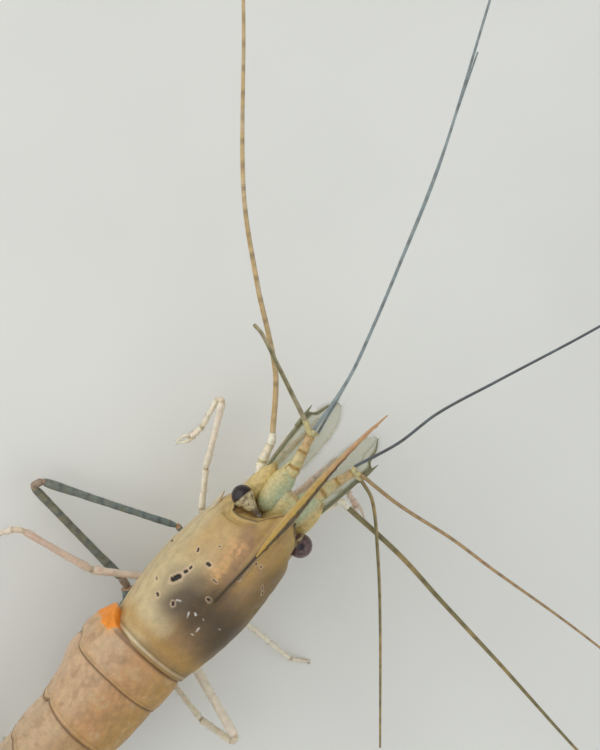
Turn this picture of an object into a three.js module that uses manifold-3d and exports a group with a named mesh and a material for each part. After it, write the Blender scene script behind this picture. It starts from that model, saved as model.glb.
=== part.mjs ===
// Giant river prawn, life size, as a still model that stands on its walking legs.
// Millimetres, +Z up. The prawn looks along +X and its left side is +Y; the floor is z = 0.
// Lengths along the body are measured from the eye socket's rear edge, where x = 0.
import * as THREE from "three";
import { mergeVertices } from "three/addons/utils/BufferGeometryUtils.js";
import Module from "manifold-3d";

const wasm = await Module();
wasm.setup();

// Driving dimensions
const GAP = 0.3; // clearance between neighbouring pieces
const CARAPACE_LENGTH = 61; // eye socket to the rear margin on the back
const ROSTRUM_LENGTH = 48.5; // eye socket to the tip of the rostrum
const BACK_HEIGHT = 51.8; // highest point of the carapace over the floor
const BELLY_HEIGHT = 17; // lower margin of the carapace over the floor
const CARAPACE_WIDTH = 36.4;
const SOMITE_LENGTHS = [12.5, 20, 19, 14.5, 12, 17];
const SOMITE_WIDTHS = [29, 28.8, 27, 23.8, 20, 15.5];
const SOMITE_BACK = [14.3, 14.6, 14, 12.2, 10.2, 8]; // axis to the back
const SOMITE_FLANK = [13, 15.5, 14.5, 12.8, 10.5, 7]; // axis to the tips of the side plates
const SOMITE_TILTS = [0, 3, 9, 18, 25, 27]; // how far each ring dips towards the tail, in degrees
const ABDOMEN_AXIS_HEIGHT = 35;
const TAIL_FAN_TILT = 17; // degrees below level
const SWIMMERET_REACH = [9.5, 13, 12, 10.6, 9.6];
const TELSON_LENGTH = 25;
const UROPOD = { inner: 24, outer: 27, innerSpread: 15, outerSpread: 35 };
const CORNEA_RADIUS = 3.3;
const EYE = { x: -2.3, y: 13.2, z: 38.5 };
const SCALE_TIP = 41; // antennal scale's rounded end, forward of the eye socket
const DORSAL_TEETH = 12;
const VENTRAL_TEETH = 9;
const FOOT_FLAT_RADIUS = 0.5;
const SLIVER = 0.03; // edges shorter than this are closed up after a union

const COLOURS = {
  shell: 0x9b8163,
  rostrum: 0xb9924f,
  abdomen: 0xa98567,
  tail: 0x8b7a60,
  head: 0xb7a47a,
  eye: 0x2b2030,
  stalk: 0x8b8268,
  scale: 0xa9c3c6,
  feeler: 0x8f8a63,
  leg: 0xd9d3c2,
  claw: 0x55677a,
};

function material(colour, roughness = 0.45) {
  return new THREE.MeshStandardMaterial({ color: colour, roughness, metalness: 0 });
}

const prawn = new THREE.Group();

function addNode(name, geometry, colour) {
  const mesh = new THREE.Mesh(geometry, material(COLOURS[colour]));
  mesh.name = name;
  prawn.add(mesh);
}

const v3 = (x, y, z) => new THREE.Vector3(x, y, z);
const SIDES = { left: 1, right: -1 };

// A smooth function through [position, value] stations in rising order of position.
function through(stations) {
  const xs = stations.map((s) => s[0]);
  const ys = stations.map((s) => s[1]);
  const slope = (i) => {
    const a = Math.max(i - 1, 0);
    const b = Math.min(i + 1, xs.length - 1);
    return (ys[b] - ys[a]) / (xs[b] - xs[a]);
  };
  return (x) => {
    if (x <= xs[0]) return ys[0];
    if (x >= xs.at(-1)) return ys.at(-1);
    const i = xs.findIndex((edge) => edge > x) - 1;
    const h = xs[i + 1] - xs[i];
    const t = (x - xs[i]) / h;
    const a = 2 * t ** 3 - 3 * t ** 2 + 1;
    const b = t ** 3 - 2 * t ** 2 + t;
    const c = t ** 3 - t ** 2;
    return a * ys[i] + b * h * slope(i) + (1 - a) * ys[i + 1] + c * h * slope(i + 1);
  };
}

// A closed solid through rings of equally many points, with a fan over each end.
function loft(rings, { frontApex, rearApex } = {}) {
  const count = rings[0].length;
  const positions = rings.flat().flatMap((p) => [p.x, p.y, p.z]);
  const index = [];
  for (let r = 0; r + 1 < rings.length; r++) {
    for (let i = 0; i < count; i++) {
      const j = (i + 1) % count;
      const [a, b] = [r * count + i, r * count + j];
      index.push(a, b, b + count, a, b + count, a + count);
    }
  }
  const centre = (ring) =>
    ring.reduce((sum, p) => sum.add(p), v3(0, 0, 0)).divideScalar(count);
  const fan = (ring, first, apex, flip) => {
    const at = positions.length / 3;
    const p = apex ?? centre(ring);
    positions.push(p.x, p.y, p.z);
    for (let i = 0; i < count; i++) {
      const j = (i + 1) % count;
      if (flip) index.push(at, first + i, first + j);
      else index.push(at, first + j, first + i);
    }
  };
  fan(rings[0], 0, frontApex, false);
  fan(rings.at(-1), (rings.length - 1) * count, rearApex, true);
  const geometry = new THREE.BufferGeometry();
  geometry.setAttribute("position", new THREE.Float32BufferAttribute(positions, 3));
  geometry.setIndex(index);
  if (volumeOf(geometry) < 0) turnInsideOut(geometry);
  return geometry;
}

function volumeOf(geometry) {
  const p = geometry.attributes.position;
  const index = geometry.index.array;
  const [a, b, c] = [v3(), v3(), v3()];
  let six = 0;
  for (let i = 0; i < index.length; i += 3) {
    a.fromBufferAttribute(p, index[i]);
    b.fromBufferAttribute(p, index[i + 1]);
    c.fromBufferAttribute(p, index[i + 2]);
    six += a.dot(b.cross(c));
  }
  return six / 6;
}

function turnInsideOut(geometry) {
  const index = geometry.index.array;
  for (let i = 0; i < index.length; i += 3)
    [index[i + 1], index[i + 2]] = [index[i + 2], index[i + 1]];
}

function toManifold(geometry) {
  const bare = geometry.clone();
  bare.deleteAttribute("normal");
  bare.deleteAttribute("uv");
  const merged = mergeVertices(bare, 1e-4);
  return new wasm.Manifold(
    new wasm.Mesh({
      numProp: 3,
      vertProperties: new Float32Array(merged.attributes.position.array),
      triVerts: new Uint32Array(merged.index.array),
    }),
  );
}

// Pieces that grow together, as one body, without the slivers that a union leaves.
function join(geometries) {
  const solid = geometries.map(toManifold).reduce((sum, next) => sum.add(next));
  const mesh = solid.asOriginal().simplify(SLIVER).getMesh();
  const geometry = new THREE.BufferGeometry();
  geometry.setAttribute(
    "position",
    new THREE.Float32BufferAttribute(mesh.vertProperties, mesh.numProp),
  );
  geometry.setIndex(new THREE.Uint32BufferAttribute(mesh.triVerts, 1));
  return geometry;
}

// A round tube through points, each [x, y, z, radius], with mitred bends and domed ends.
// A foot ends in a small level flat on the floor.
function tube(stations, { sides = 6, foot = false, flat = 1 } = {}) {
  const points = stations.map(([x, y, z]) => v3(x, y, z));
  const rings = points.map((p, i) => {
    const before = points[Math.max(i - 1, 0)];
    const after = points[Math.min(i + 1, points.length - 1)];
    const along = after.clone().sub(before).normalize();
    const level = Math.abs(along.z) > 0.95 ? v3(1, 0, 0) : v3(0, 0, 1);
    let across = level.clone().cross(along).normalize();
    let up = along.clone().cross(across).normalize();
    let radius = stations[i][3];
    if (foot && i === points.length - 1) {
      radius = FOOT_FLAT_RADIUS;
      up = up.setZ(0).normalize();
      across = v3(0, 0, 1).cross(up).multiplyScalar(-Math.sign(along.z) || 1);
    }
    return Array.from({ length: sides }, (_, k) => {
      const angle = (2 * Math.PI * (k + 0.5)) / sides;
      const q = p
        .clone()
        .addScaledVector(across, radius * Math.cos(angle))
        .addScaledVector(up, radius * flat * Math.sin(angle));
      return foot ? q.setZ(Math.max(q.z, 0)) : q;
    });
  });
  const dome = (end, inner, radius) =>
    end.clone().addScaledVector(end.clone().sub(inner).normalize(), radius * 0.5);
  const last = points.length - 1;
  return loft(rings, {
    frontApex: dome(points[0], points[1], stations[0][3]),
    rearApex: foot ? undefined : dome(points[last], points[last - 1], stations[last][3]),
  });
}

// Limb segments between joints, each [x, y, z, radius]: every segment swells just inside
// its ends and narrows at the joint itself.
const JOINT_WAIST = 0.82;
const JOINT_SWELL = 1.12;
const SWELL_AT = 0.12;
function jointed(joints) {
  const stations = [];
  for (let i = 0; i + 1 < joints.length; i++) {
    const [a, b] = [joints[i], joints[i + 1]];
    const mix = (t, factor) =>
      a.map((value, k) => (value + (b[k] - value) * t) * (k === 3 ? factor : 1));
    stations.push(mix(0, JOINT_WAIST), mix(SWELL_AT, JOINT_SWELL), mix(1 - SWELL_AT, JOINT_SWELL));
    if (i + 2 === joints.length) stations.push(mix(1, JOINT_WAIST));
  }
  return stations;
}

// The same stations on the other flank.
const mirrored = (stations, side) => stations.map(([x, y, z, ...rest]) => [x, y * side, z, ...rest]);

// Carapace
const carapaceHalfWidth = through([
  [-CARAPACE_LENGTH, 14.6],
  [-50, 16.8],
  [-36, CARAPACE_WIDTH / 2],
  [-20, 17.2],
  [-6, 14.8],
  [4, 12.4],
]);
const carapaceTop = through([
  [-CARAPACE_LENGTH, 49.4],
  [-46, 51.4],
  [-30, BACK_HEIGHT],
  [-12, 50.7],
  [4, 48],
]);
const carapaceBottom = through([
  [-CARAPACE_LENGTH, 20],
  [-50, 17.8],
  [-30, BELLY_HEIGHT],
  [-12, 18.5],
  [4, 24],
]);
const RIDGE_START = -32;
const BELLY_RECESS = 2.6;
const WIDEST_AT = 0.5; // of the height, where the flanks are widest

// How far the rear margin's lobe reaches back at height z.
const rearLobe = (z) => 3 * Math.exp(-(((z - 29) / 7) ** 2));

// How far the front margin is cut back: the eye socket high up, the cheek's corner low down.
function frontCut(y, z) {
  const spread = z < EYE.z ? 7 : 5;
  const socket = 10.5 * Math.exp(-(((z - EYE.z) / spread) ** 2)) * Math.min(1, Math.abs(y) / 6);
  const cheek = 6 * Math.max(0, (31 - z) / 8) ** 1.5;
  return socket + cheek;
}

function carapace() {
  const ringPoints = 28;
  const xs = [-61, -59, -54, -47, -39, -31, -23, -16, -10, -5, -1, 4];
  const rings = xs.map((x, r) => {
    const w = carapaceHalfWidth(x);
    const top = carapaceTop(x);
    const bottom = carapaceBottom(x);
    const middle = bottom + (top - bottom) * WIDEST_AT;
    const reach = (x + CARAPACE_LENGTH) / (CARAPACE_LENGTH + 4);
    return Array.from({ length: ringPoints }, (_, k) => {
      const angle = (2 * Math.PI * k) / ringPoints;
      const [c, s] = [Math.cos(angle), Math.sin(angle)];
      const roundness = s > 0 ? 2.15 : 2.9;
      const y = w * Math.sign(c) * Math.abs(c) ** (2 / roundness);
      const height = s > 0 ? top - middle : middle - bottom;
      let z = middle + height * Math.sign(s) * Math.abs(s) ** (2 / roundness);
      if (s < 0 && Math.abs(y) < 0.72 * w) z = bottom + BELLY_RECESS;
      if (k === ringPoints / 4) z += 1.2 * Math.max(0, (x - RIDGE_START) / -RIDGE_START) ** 0.7;
      const back = rearLobe(z) * Math.max(0, 1 - reach * 3);
      const cut = frontCut(y, z) * THREE.MathUtils.smoothstep(x, -14, 4);
      return v3(x - back - cut, y, z);
    });
  });
  const spines = Object.values(SIDES).flatMap((side) => [
    tube([[-4, 12.7 * side, 32, 1.5], [1, 12.9 * side, 32, 1.1], [5.6, 13 * side, 32.4, 0.35]]),
    tube([[-14, 14.6 * side, 31, 1.8], [-9, 15.8 * side, 30.8, 1], [-5.5, 16.4 * side, 30.8, 0.35]]),
  ]);
  return join([loft(rings, { rearApex: v3(-6, 0, 35) }), ...spines]);
}

// Rostrum: a toothed blade with a rib along each side
const ROSTRUM_START = -13;
const ROSTRUM_SEAT_END = 4.4; // forward of this the blade hangs free below the shell's edge
const rostrumTop = through([
  [ROSTRUM_START, 52.6],
  [0, 53.2],
  [8, 53],
  [18, 51.2],
  [30, 50.4],
  [40, 51.2],
  [ROSTRUM_LENGTH, 53.2],
]);
const rostrumBottom = through([
  [5, 46.8],
  [9, 45.6],
  [18, 45.2],
  [30, 47],
  [40, 49.4],
  [ROSTRUM_LENGTH, 52.6],
]);
const rostrumRib = through([
  [0, 50.6],
  [10, 49.6],
  [20, 48.6],
  [30, 48.7],
  [40, 50.2],
  [ROSTRUM_LENGTH, 52.9],
]);
const rostrumHalfWidth = through([
  [ROSTRUM_START, 0.5],
  [-4, 1.5],
  [2, 2.3],
  [10, 2.1],
  [25, 1.6],
  [40, 1.1],
  [ROSTRUM_LENGTH, 0.35],
]);

// Teeth from x = a to x = b: each rises to a forward point and drops.
function toothRow(a, b, count, height) {
  const pitch = (b - a) / count;
  const height_at = (x) => {
    if (x <= a || x >= b) return 0;
    const t = ((x - a) / pitch) % 1;
    return height * (t < 0.8 ? t / 0.8 : (1 - t) / 0.2);
  };
  const places = Array.from({ length: count }, (_, i) => [a + i * pitch, a + (i + 0.8) * pitch]);
  return { height_at, places: places.flat() };
}

function rostrum() {
  const above = toothRow(ROSTRUM_START + 0.5, ROSTRUM_LENGTH - 4, DORSAL_TEETH, 1.5);
  const below = toothRow(12, ROSTRUM_LENGTH - 5, VENTRAL_TEETH, 1.1);
  const places = [ROSTRUM_START, 2, ROSTRUM_SEAT_END, 5, ...above.places, ...below.places, ROSTRUM_LENGTH];
  const xs = [...new Set(places.map((x) => Math.round(x * 10) / 10))].sort((p, q) => p - q);
  const rings = xs.map((x) => {
    const onShell = x <= ROSTRUM_SEAT_END;
    const w = rostrumHalfWidth(x);
    const top = rostrumTop(x) + above.height_at(x);
    const seat = carapaceTop(x) + 1.2 + GAP;
    const bottom = onShell ? seat : rostrumBottom(x) - below.height_at(x);
    const rib = onShell ? Math.max(rostrumRib(x), seat + 0.5) : rostrumRib(x);
    return [
      v3(x, 0.3, top),
      v3(x, w, rib + 0.35),
      v3(x, w, rib - 0.35),
      v3(x, 0.3, bottom),
      v3(x, -0.3, bottom),
      v3(x, -w, rib - 0.35),
      v3(x, -w, rib + 0.35),
      v3(x, -0.3, top),
    ];
  });
  return loft(rings);
}

// Head: the block under the rostrum that carries the eyes and feelers
function head() {
  const sections = [
    [-2.5, 2.5, 31, 38],
    [2, 4.4, 28.5, 42],
    [5.5, 5.6, 27.5, 42.5],
    [8, 4.4, 28.5, 39.5],
  ];
  return loft(
    sections.map(([x, w, bottom, top]) =>
      Array.from({ length: 12 }, (_, k) => {
        const angle = (2 * Math.PI * k) / 12;
        const [c, s] = [Math.cos(angle), Math.sin(angle)];
        return v3(x, w * c, (top + bottom) / 2 + ((top - bottom) / 2) * s);
      }),
    ),
  );
}

// Abdomen: the axis runs back and bends down ring by ring.
function abdomenAxis() {
  const marks = [{ at: v3(-CARAPACE_LENGTH - GAP, 0, ABDOMEN_AXIS_HEIGHT), tilt: SOMITE_TILTS[0] }];
  SOMITE_LENGTHS.forEach((length, i) => {
    const next = SOMITE_TILTS[Math.min(i + 1, SOMITE_TILTS.length - 1)];
    const tilt = SOMITE_TILTS[i];
    const angle = THREE.MathUtils.degToRad(tilt);
    const at = marks.at(-1).at.clone();
    at.add(v3(-Math.cos(angle), 0, -Math.sin(angle)).multiplyScalar(length));
    marks.push({ at, tilt: (tilt + next) / 2 });
  });
  return marks;
}
const AXIS = abdomenAxis();

// How far each margin between two rings bows back at the side plates, front ring first.
const FLANK_BOW = [0, -2.6, 3, 2, 1.4, 0.8, 0];
const PLATE_ROUNDING = [2.4, 4.6, 4.2, 4, 3.6, 2.4];
const BELLY_DEPTH = 0.72; // of the side plates' depth

// Points of one abdominal section: [across, up, shape along], starting at the left plate's tip.
function somiteSection(k, grow) {
  const w = (SOMITE_WIDTHS[k] / 2) * grow;
  const up = SOMITE_BACK[k] * grow;
  const down = SOMITE_FLANK[k];
  const side = [
    [0.86 * w, -down, 1],
    [0.98 * w, -0.78 * down, 0.75],
    [w, -0.4 * down, 0.4],
  ];
  const arch = Array.from({ length: 11 }, (_, i) => {
    const angle = (Math.PI * i) / 10;
    const [c, s] = [Math.cos(angle), Math.sin(angle)];
    return [w * Math.sign(c) * Math.abs(c) ** 0.93, up * s ** 0.93, 0];
  });
  const belly = [
    [-0.74 * w, -down + 0.7, 1],
    [-0.66 * w, -BELLY_DEPTH * down, 0.15],
    [-0.33 * w, -BELLY_DEPTH * down, 0],
  ];
  const flip = ([y, z, lobe]) => [-y, z, lobe];
  return [
    ...side,
    ...arch,
    ...side.map(flip).reverse(),
    ...belly,
    [0, -BELLY_DEPTH * down, 0],
    ...belly.map(flip).reverse(),
  ];
}

function somite(k) {
  const [front, rear] = [AXIS[k], AXIS[k + 1]];
  const steps = [
    [0, 0.95],
    [0.1, 0.985],
    [0.5, 1.015],
    [0.85, 1.02],
    [1, 1],
  ];
  const rings = steps.map(([t, grow]) => {
    const centre = front.at.clone().lerp(rear.at, t);
    const tilt = THREE.MathUtils.degToRad(THREE.MathUtils.lerp(front.tilt, rear.tilt, t));
    const along = v3(-Math.cos(tilt), 0, -Math.sin(tilt));
    const up = v3(-Math.sin(tilt), 0, Math.cos(tilt));
    const next = Math.min(k + 1, SOMITE_WIDTHS.length - 1);
    const taper = THREE.MathUtils.lerp(1, SOMITE_WIDTHS[next] / SOMITE_WIDTHS[k], t * 0.6);
    return somiteSection(k, grow * taper).map(([y, z, lobe]) => {
      const bow = Math.sin(Math.PI * Math.min(lobe, 0.85));
      let shift = THREE.MathUtils.lerp(FLANK_BOW[k], FLANK_BOW[k + 1], t) * bow;
      shift += PLATE_ROUNDING[k] * lobe ** 3 * (1 - 2 * t);
      shift += GAP * 0.5 * (1 - 2 * t);
      if (k === 0) shift += (rearLobe(centre.z + z) + GAP) * (1 - t);
      return centre
        .clone()
        .addScaledVector(along, shift)
        .addScaledVector(up, z)
        .add(v3(0, y, 0));
    });
  });
  return loft(rings);
}

// A pair of swimmerets folded back under ring k: a stem with two narrow blades on each side.
function swimmerets(k) {
  const [front, rear] = [AXIS[k], AXIS[k + 1]];
  const tilt = THREE.MathUtils.degToRad(AXIS[k + 1].tilt + 4);
  const along = v3(-Math.cos(tilt), 0, -Math.sin(tilt));
  const up = v3(-Math.sin(tilt), 0, Math.cos(tilt));
  const root = front.at.clone().lerp(rear.at, 0.45);
  const reach = SWIMMERET_REACH[k];
  return Object.values(SIDES).flatMap((side) => {
    const place = (back, across, lift, radius) => {
      const p = root.clone().addScaledVector(along, back).addScaledVector(up, lift);
      return [p.x, (0.4 * (SOMITE_WIDTHS[k] / 2) + across) * side, p.z, radius];
    };
    const belly = -BELLY_DEPTH * SOMITE_FLANK[k];
    const knee = belly - 4.6;
    const blade = (spread, drop) =>
      tube(
        [
          place(3, 0, knee, 0.9),
          place(3 + reach * 0.5, spread * 0.7, knee - drop * 0.6, 1.6),
          place(3 + reach, spread, knee - drop, 0.6),
        ],
        { sides: 4, flat: 0.5 },
      );
    return [
      tube([place(0, 0, belly + 1.5, 1.5), place(3, 0, knee, 1.2)], { sides: 5 }),
      blade(1.8, 1.6),
      blade(-1.4, 0.8),
    ];
  });
}

// A thin plate along a direction: edges are functions of the distance along it.
function plate({ root, tilt, spread, lengths, left, right, rib, edge = 0.28 }) {
  const turn = new THREE.Euler(0, THREE.MathUtils.degToRad(tilt), THREE.MathUtils.degToRad(spread), "YZX");
  const rings = lengths.map((along) => {
    const [a, b] = [left(along), right(along)];
    const middle = (a + b) / 2;
    const thick = rib(along);
    return [
      v3(along, a, edge),
      v3(along, middle, thick),
      v3(along, b, edge),
      v3(along, b, -edge),
      v3(along, middle, -thick),
      v3(along, a, -edge),
    ].map((p) => p.applyEuler(turn).add(root));
  });
  return loft(rings);
}

// Tail fan
const TAIL_ROOT = AXIS.at(-1);
function tailRoot(behind, across, lift) {
  const tilt = THREE.MathUtils.degToRad(TAIL_ROOT.tilt);
  return TAIL_ROOT.at
    .clone()
    .add(v3(-Math.cos(tilt), 0, -Math.sin(tilt)).multiplyScalar(behind))
    .add(v3(-Math.sin(tilt), 0, Math.cos(tilt)).multiplyScalar(lift))
    .add(v3(0, across, 0));
}

function telson() {
  const half = through([
    [0, 5],
    [8, 4.8],
    [18, 3],
    [TELSON_LENGTH, 1],
  ]);
  return plate({
    root: tailRoot(1, 0, 2.6),
    tilt: -TAIL_FAN_TILT,
    spread: 180,
    lengths: [0, 4, 9, 14, 19, 23, TELSON_LENGTH],
    left: half,
    right: (x) => -half(x),
    rib: through([
      [0, 2.6],
      [10, 1.8],
      [TELSON_LENGTH, 0.7],
    ]),
  });
}

function uropod(which, side) {
  const length = UROPOD[which];
  const outer = which === "outer";
  const half = through([
    [0, 1.4],
    [length * 0.3, outer ? 4.6 : 4.2],
    [length * 0.75, outer ? 5.8 : 5],
    [length * 0.94, outer ? 4 : 3.2],
    [length, 0.9],
  ]);
  return plate({
    root: tailRoot(1.4, side * (outer ? 6 : 4.2), outer ? -3.4 : -1),
    tilt: -TAIL_FAN_TILT,
    spread: 180 - side * UROPOD[`${which}Spread`],
    lengths: [0, 0.15, 0.35, 0.6, 0.8, 0.94, 1].map((t) => t * length),
    left: half,
    right: (x) => -half(x),
    rib: through([
      [0, 1.1],
      [length * 0.5, 0.7],
      [length, 0.35],
    ]),
  });
}

// Eyes
function cornea(side) {
  const geometry = new THREE.SphereGeometry(CORNEA_RADIUS, 12, 8);
  geometry.translate(EYE.x, EYE.y * side, EYE.z);
  return join([geometry]);
}

function eyestalk(side) {
  const end = CORNEA_RADIUS + GAP + 0.7;
  const root = [3, 5.4, 40.4];
  const towards = v3(root[0] - EYE.x, root[1] - EYE.y, root[2] - EYE.z).normalize();
  const tip = v3(EYE.x, EYE.y, EYE.z).addScaledVector(towards, end);
  const stations = [
    [3.2, 6.2, 40.6, 0.9],
    [(tip.x + 3) / 2, (tip.y + 6) / 2, (tip.z + 40.6) / 2, 1.7],
    [tip.x, tip.y, tip.z, 1.9],
  ];
  return tube(mirrored(stations, side), { sides: 8 });
}

// Antennal scales: a thick straight outer edge that ends in a spine, and a rounded tip
function antennalScale(side) {
  const outerEdge = through([
    [4, 11.6],
    [14, 13.6],
    [32, 15],
    [33.5, 13.2],
    [38, 11.6],
    [SCALE_TIP, 9.2],
  ]);
  const innerEdge = through([
    [4, 7.4],
    [14, 3.4],
    [28, 3.2],
    [36, 4.8],
    [SCALE_TIP, 8],
  ]);
  return plate({
    root: v3(0, 0, 33.6),
    tilt: -3,
    spread: 0,
    lengths: [4, 9, 14, 21, 28, 32, 33.5, 37, 39.5, SCALE_TIP],
    left: (x) => outerEdge(x) * side,
    right: (x) => innerEdge(x) * side,
    rib: () => 0.5,
    edge: 0.4,
  });
}

// Feelers: routes of the bristle-like flagella, each from its stem to its tip.
// A route's last value is the radius at the root.
const FEELERS = {
  antennule_left_short: { root: 0.95, tip: 0.75, route: [[29.4, 14.6, 38.4], [36.2, 32.6, 38.6], [40.7, 45.2, 40.2], [41.2, 49.4, 41]] },
  antennule_left_outer: { root: 0.7, tip: 0.35, route: [[29, 10.2, 38.6], [48.6, 14.3, 42], [64, 20.5, 46], [84.5, 30, 52], [114.6, 43.8, 58], [158, 67.5, 64], [205, 92, 66]] },
  antennule_left_inner: { root: 0.6, tip: 0.35, route: [[28.8, 7.9, 37.2], [48.5, 13.3, 39.2], [63.8, 18.9, 41.4], [83.5, 27.5, 45], [112, 40, 49], [150, 58, 52]] },
  antennule_right_outer: { root: 0.75, tip: 0.35, route: [[29, -8.6, 38.6], [44.2, -13.1, 42], [60.1, -14.8, 46], [80.3, -20.1, 52], [114.2, -30, 60], [150, -40, 64], [190, -51, 66]] },
  antennule_right_inner: { root: 0.7, tip: 0.35, route: [[28.4, -11.8, 38.2], [29.4, -29.3, 38.4], [32.8, -51.8, 38], [34.4, -71, 37], [37.5, -101.1, 34.4], [39.2, -124, 31], [41, -160, 28]] },
  antennule_right_short: { root: 0.65, tip: 0.4, route: [[27.2, -13.8, 37], [24.4, -23, 34.4], [12.6, -37.9, 31.8], [-4.2, -59, 22], [-40, -97.4, 12]] },
  antenna_left: { root: 1, tip: 0.4, route: [[17.6, 16.2, 30.6], [33.4, 29.6, 31], [41.6, 41, 33], [51.3, 56, 35.5], [70, 80.8, 40], [107, 117, 46], [148, 158, 50]] },
  antenna_right: { root: 1, tip: 0.4, route: [[17.2, -16.8, 30.6], [16.8, -45.2, 30], [14.6, -67.2, 30.4], [12.9, -86, 30], [11.2, -104.6, 28.4], [6.6, -148.3, 24], [3, -195, 20]] },
};

function feeler({ route, root, tip }) {
  const curve = new THREE.CatmullRomCurve3(route.map((p) => v3(...p)));
  const steps = 4 * (route.length - 1);
  const stations = Array.from({ length: steps + 1 }, (_, i) => {
    const t = i / steps;
    const p = curve.getPoint(t);
    return [p.x, p.y, p.z, THREE.MathUtils.lerp(root, tip, t)];
  });
  return tube(stations, { sides: 5 });
}

// Stems of the feelers, and the mouth's outer pair of palps
const ANTENNULE_STEM = [
  [8.8, 4.4, 37, 2.3],
  [16, 6.4, 38, 2.1],
  [21.5, 8, 38.3, 1.7],
  [27, 9.6, 38.4, 1.35],
];
const ANTENNA_STEM = [
  [5.6, 9.4, 29.4, 2.2],
  [10, 13.6, 29.2, 2.1],
  [16.2, 15.6, 30.2, 1.5],
];
const PALP = [
  [-7, 4.4, 17.4, 1.3],
  [5, 6.4, 19.4, 1.6],
  [17, 7.2, 22.4, 1.3],
  [27, 6.8, 25, 0.7],
];

// Walking legs: the hip, the knee's two neighbours and the foot of each, on the side named.
// Upper: hip, first joint, knee. Lower: knee, wrist, toe joint, foot.
const WALKING_LEGS = {
  leg_3_left: {
    upper: [[-36.6, 8.2, 14.2, 1.6], [-33, 7.8, 8.6, 1.5], [-11, 8, 7.8, 1.2]],
    lower: [[-9.4, 5.4, 6.8, 1.1], [-19, 4.8, 5.4, 1], [-38, 6, 2.8, 0.8], [-44, 6.6, 0, 0.5]],
  },
  leg_4_left: {
    upper: [[-44.4, 8.6, 14.6, 1.7], [-55.4, 28.6, 19, 1.7], [-57.8, 57.2, 29.6, 1.4]],
    lower: [[-59.6, 59.6, 28.6, 1.3], [-67, 60.6, 18, 1.1], [-82, 62, 4, 0.9], [-87, 62.5, 0, 0.5]],
  },
  leg_5_left: {
    upper: [[-52.6, 8, 14.6, 1.7], [-58, 7, 14.6, 1.5], [-82, 5.6, 15.6, 1.2]],
    lower: [[-85.2, 5.4, 15, 1.1], [-97, 4.4, 12, 1], [-117, 4.6, 3.2, 0.8], [-123, 5, 0, 0.5]],
  },
  leg_3_right: {
    upper: [[-35.4, -8.4, 14.6, 1.7], [-31, -13, 14.2, 1.5], [-19, -18.4, 13.6, 1.2]],
    lower: [[-21.4, -20.6, 12.6, 1.1], [-37, -23.4, 12, 1.1], [-37.6, -52.4, 3.4, 0.9], [-34.4, -60, 0, 0.5]],
  },
  leg_4_right: {
    upper: [[-44, -8.4, 14, 1.7], [-47, -14, 11.4, 1.5], [-65, -20.4, 8.4, 1.2]],
    lower: [[-65.4, -22.8, 6.6, 1.1], [-58, -23.6, 4.6, 1], [-46, -21.6, 1.9, 0.8], [-41, -20.6, 0, 0.5]],
  },
  leg_5_right: {
    upper: [[-52.6, -8.6, 14.6, 1.8], [-57, -17.4, 15.4, 1.8], [-66.8, -46.6, 27.6, 1.6]],
    lower: [[-69, -48, 25.4, 1.4], [-72, -38.4, 15, 1.2], [-70.2, -25, 5, 0.9], [-69.4, -19.4, 0, 0.5]],
  },
};

// First legs: slender, each with a small pair of nippers at its end.
const FIRST_LEGS = {
  leg_1_left: {
    upper: [[-19, 6.4, 15, 1.4], [-16.6, 13, 14.6, 1.4], [-5, 22.5, 18, 1.3], [16, 36.2, 26, 1.5]],
    lower: [[15.2, 37, 22.6, 1.1], [4.6, 32.9, 17.4, 1.1], [-0.6, 32.6, 14.4, 1.4], [-5.4, 34.6, 12.4, 0.4]],
  },
  leg_1_right: {
    upper: [[-18.6, -6.4, 15, 1.4], [-13.4, -9, 14, 1.3], [0, -11.4, 13, 1.2], [11, -13, 12.4, 1.2]],
    lower: [[13.4, -14.6, 12.2, 1], [20.6, -22.6, 12, 1.1], [18.6, -29, 11, 1.4], [17, -34.4, 10, 0.4]],
  },
};

// Claw legs: the long second pair, folded back under the body.
const CLAW_LEGS = {
  claw_leg_left: {
    arm: [[-27.4, 7.8, 13.4, 1.6], [-26.4, 14.6, 12.8, 1.8], [-44.4, 59.4, 11.4, 2.5]],
    forearm: [[-47.8, 60.6, 10.6, 2.3], [-52.8, 16, 8.6, 2.6]],
    palm: [[-53.8, 11.8, 8.4, 2.4], [-57, 7.6, 8, 3], [-76, 2.4, 6.8, 3]],
    fixedFinger: [[-74, 1.4, 6.6, 1.7], [-86, -1.6, 5.6, 1.4], [-97, -1.4, 5, 0.6]],
    finger: [[-79, 4.8, 6.4, 1.2], [-88, 2.4, 5.6, 1.1], [-98, 0.9, 5, 0.5]],
  },
  claw_leg_right: {
    arm: [[-27, -6.4, 13.4, 1.6], [-31, -4.4, 10, 1.8], [-61, -3.6, 8.4, 2.2]],
    forearm: [[-64.4, -6, 8.2, 2.1], [-99, -9.4, 6.6, 2.6]],
    palm: [[-103, -9.6, 6.4, 2.4], [-108, -9.4, 6.2, 3], [-127, -7.6, 5.6, 3]],
    fixedFinger: [[-125, -8.8, 5.4, 1.7], [-137, -9, 4.8, 1.4], [-148, -7.6, 4.4, 0.6]],
    finger: [[-130, -5.4, 5.2, 1.2], [-139, -4.8, 4.8, 1.1], [-148.6, -5.4, 4.4, 0.5]],
  },
};

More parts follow.
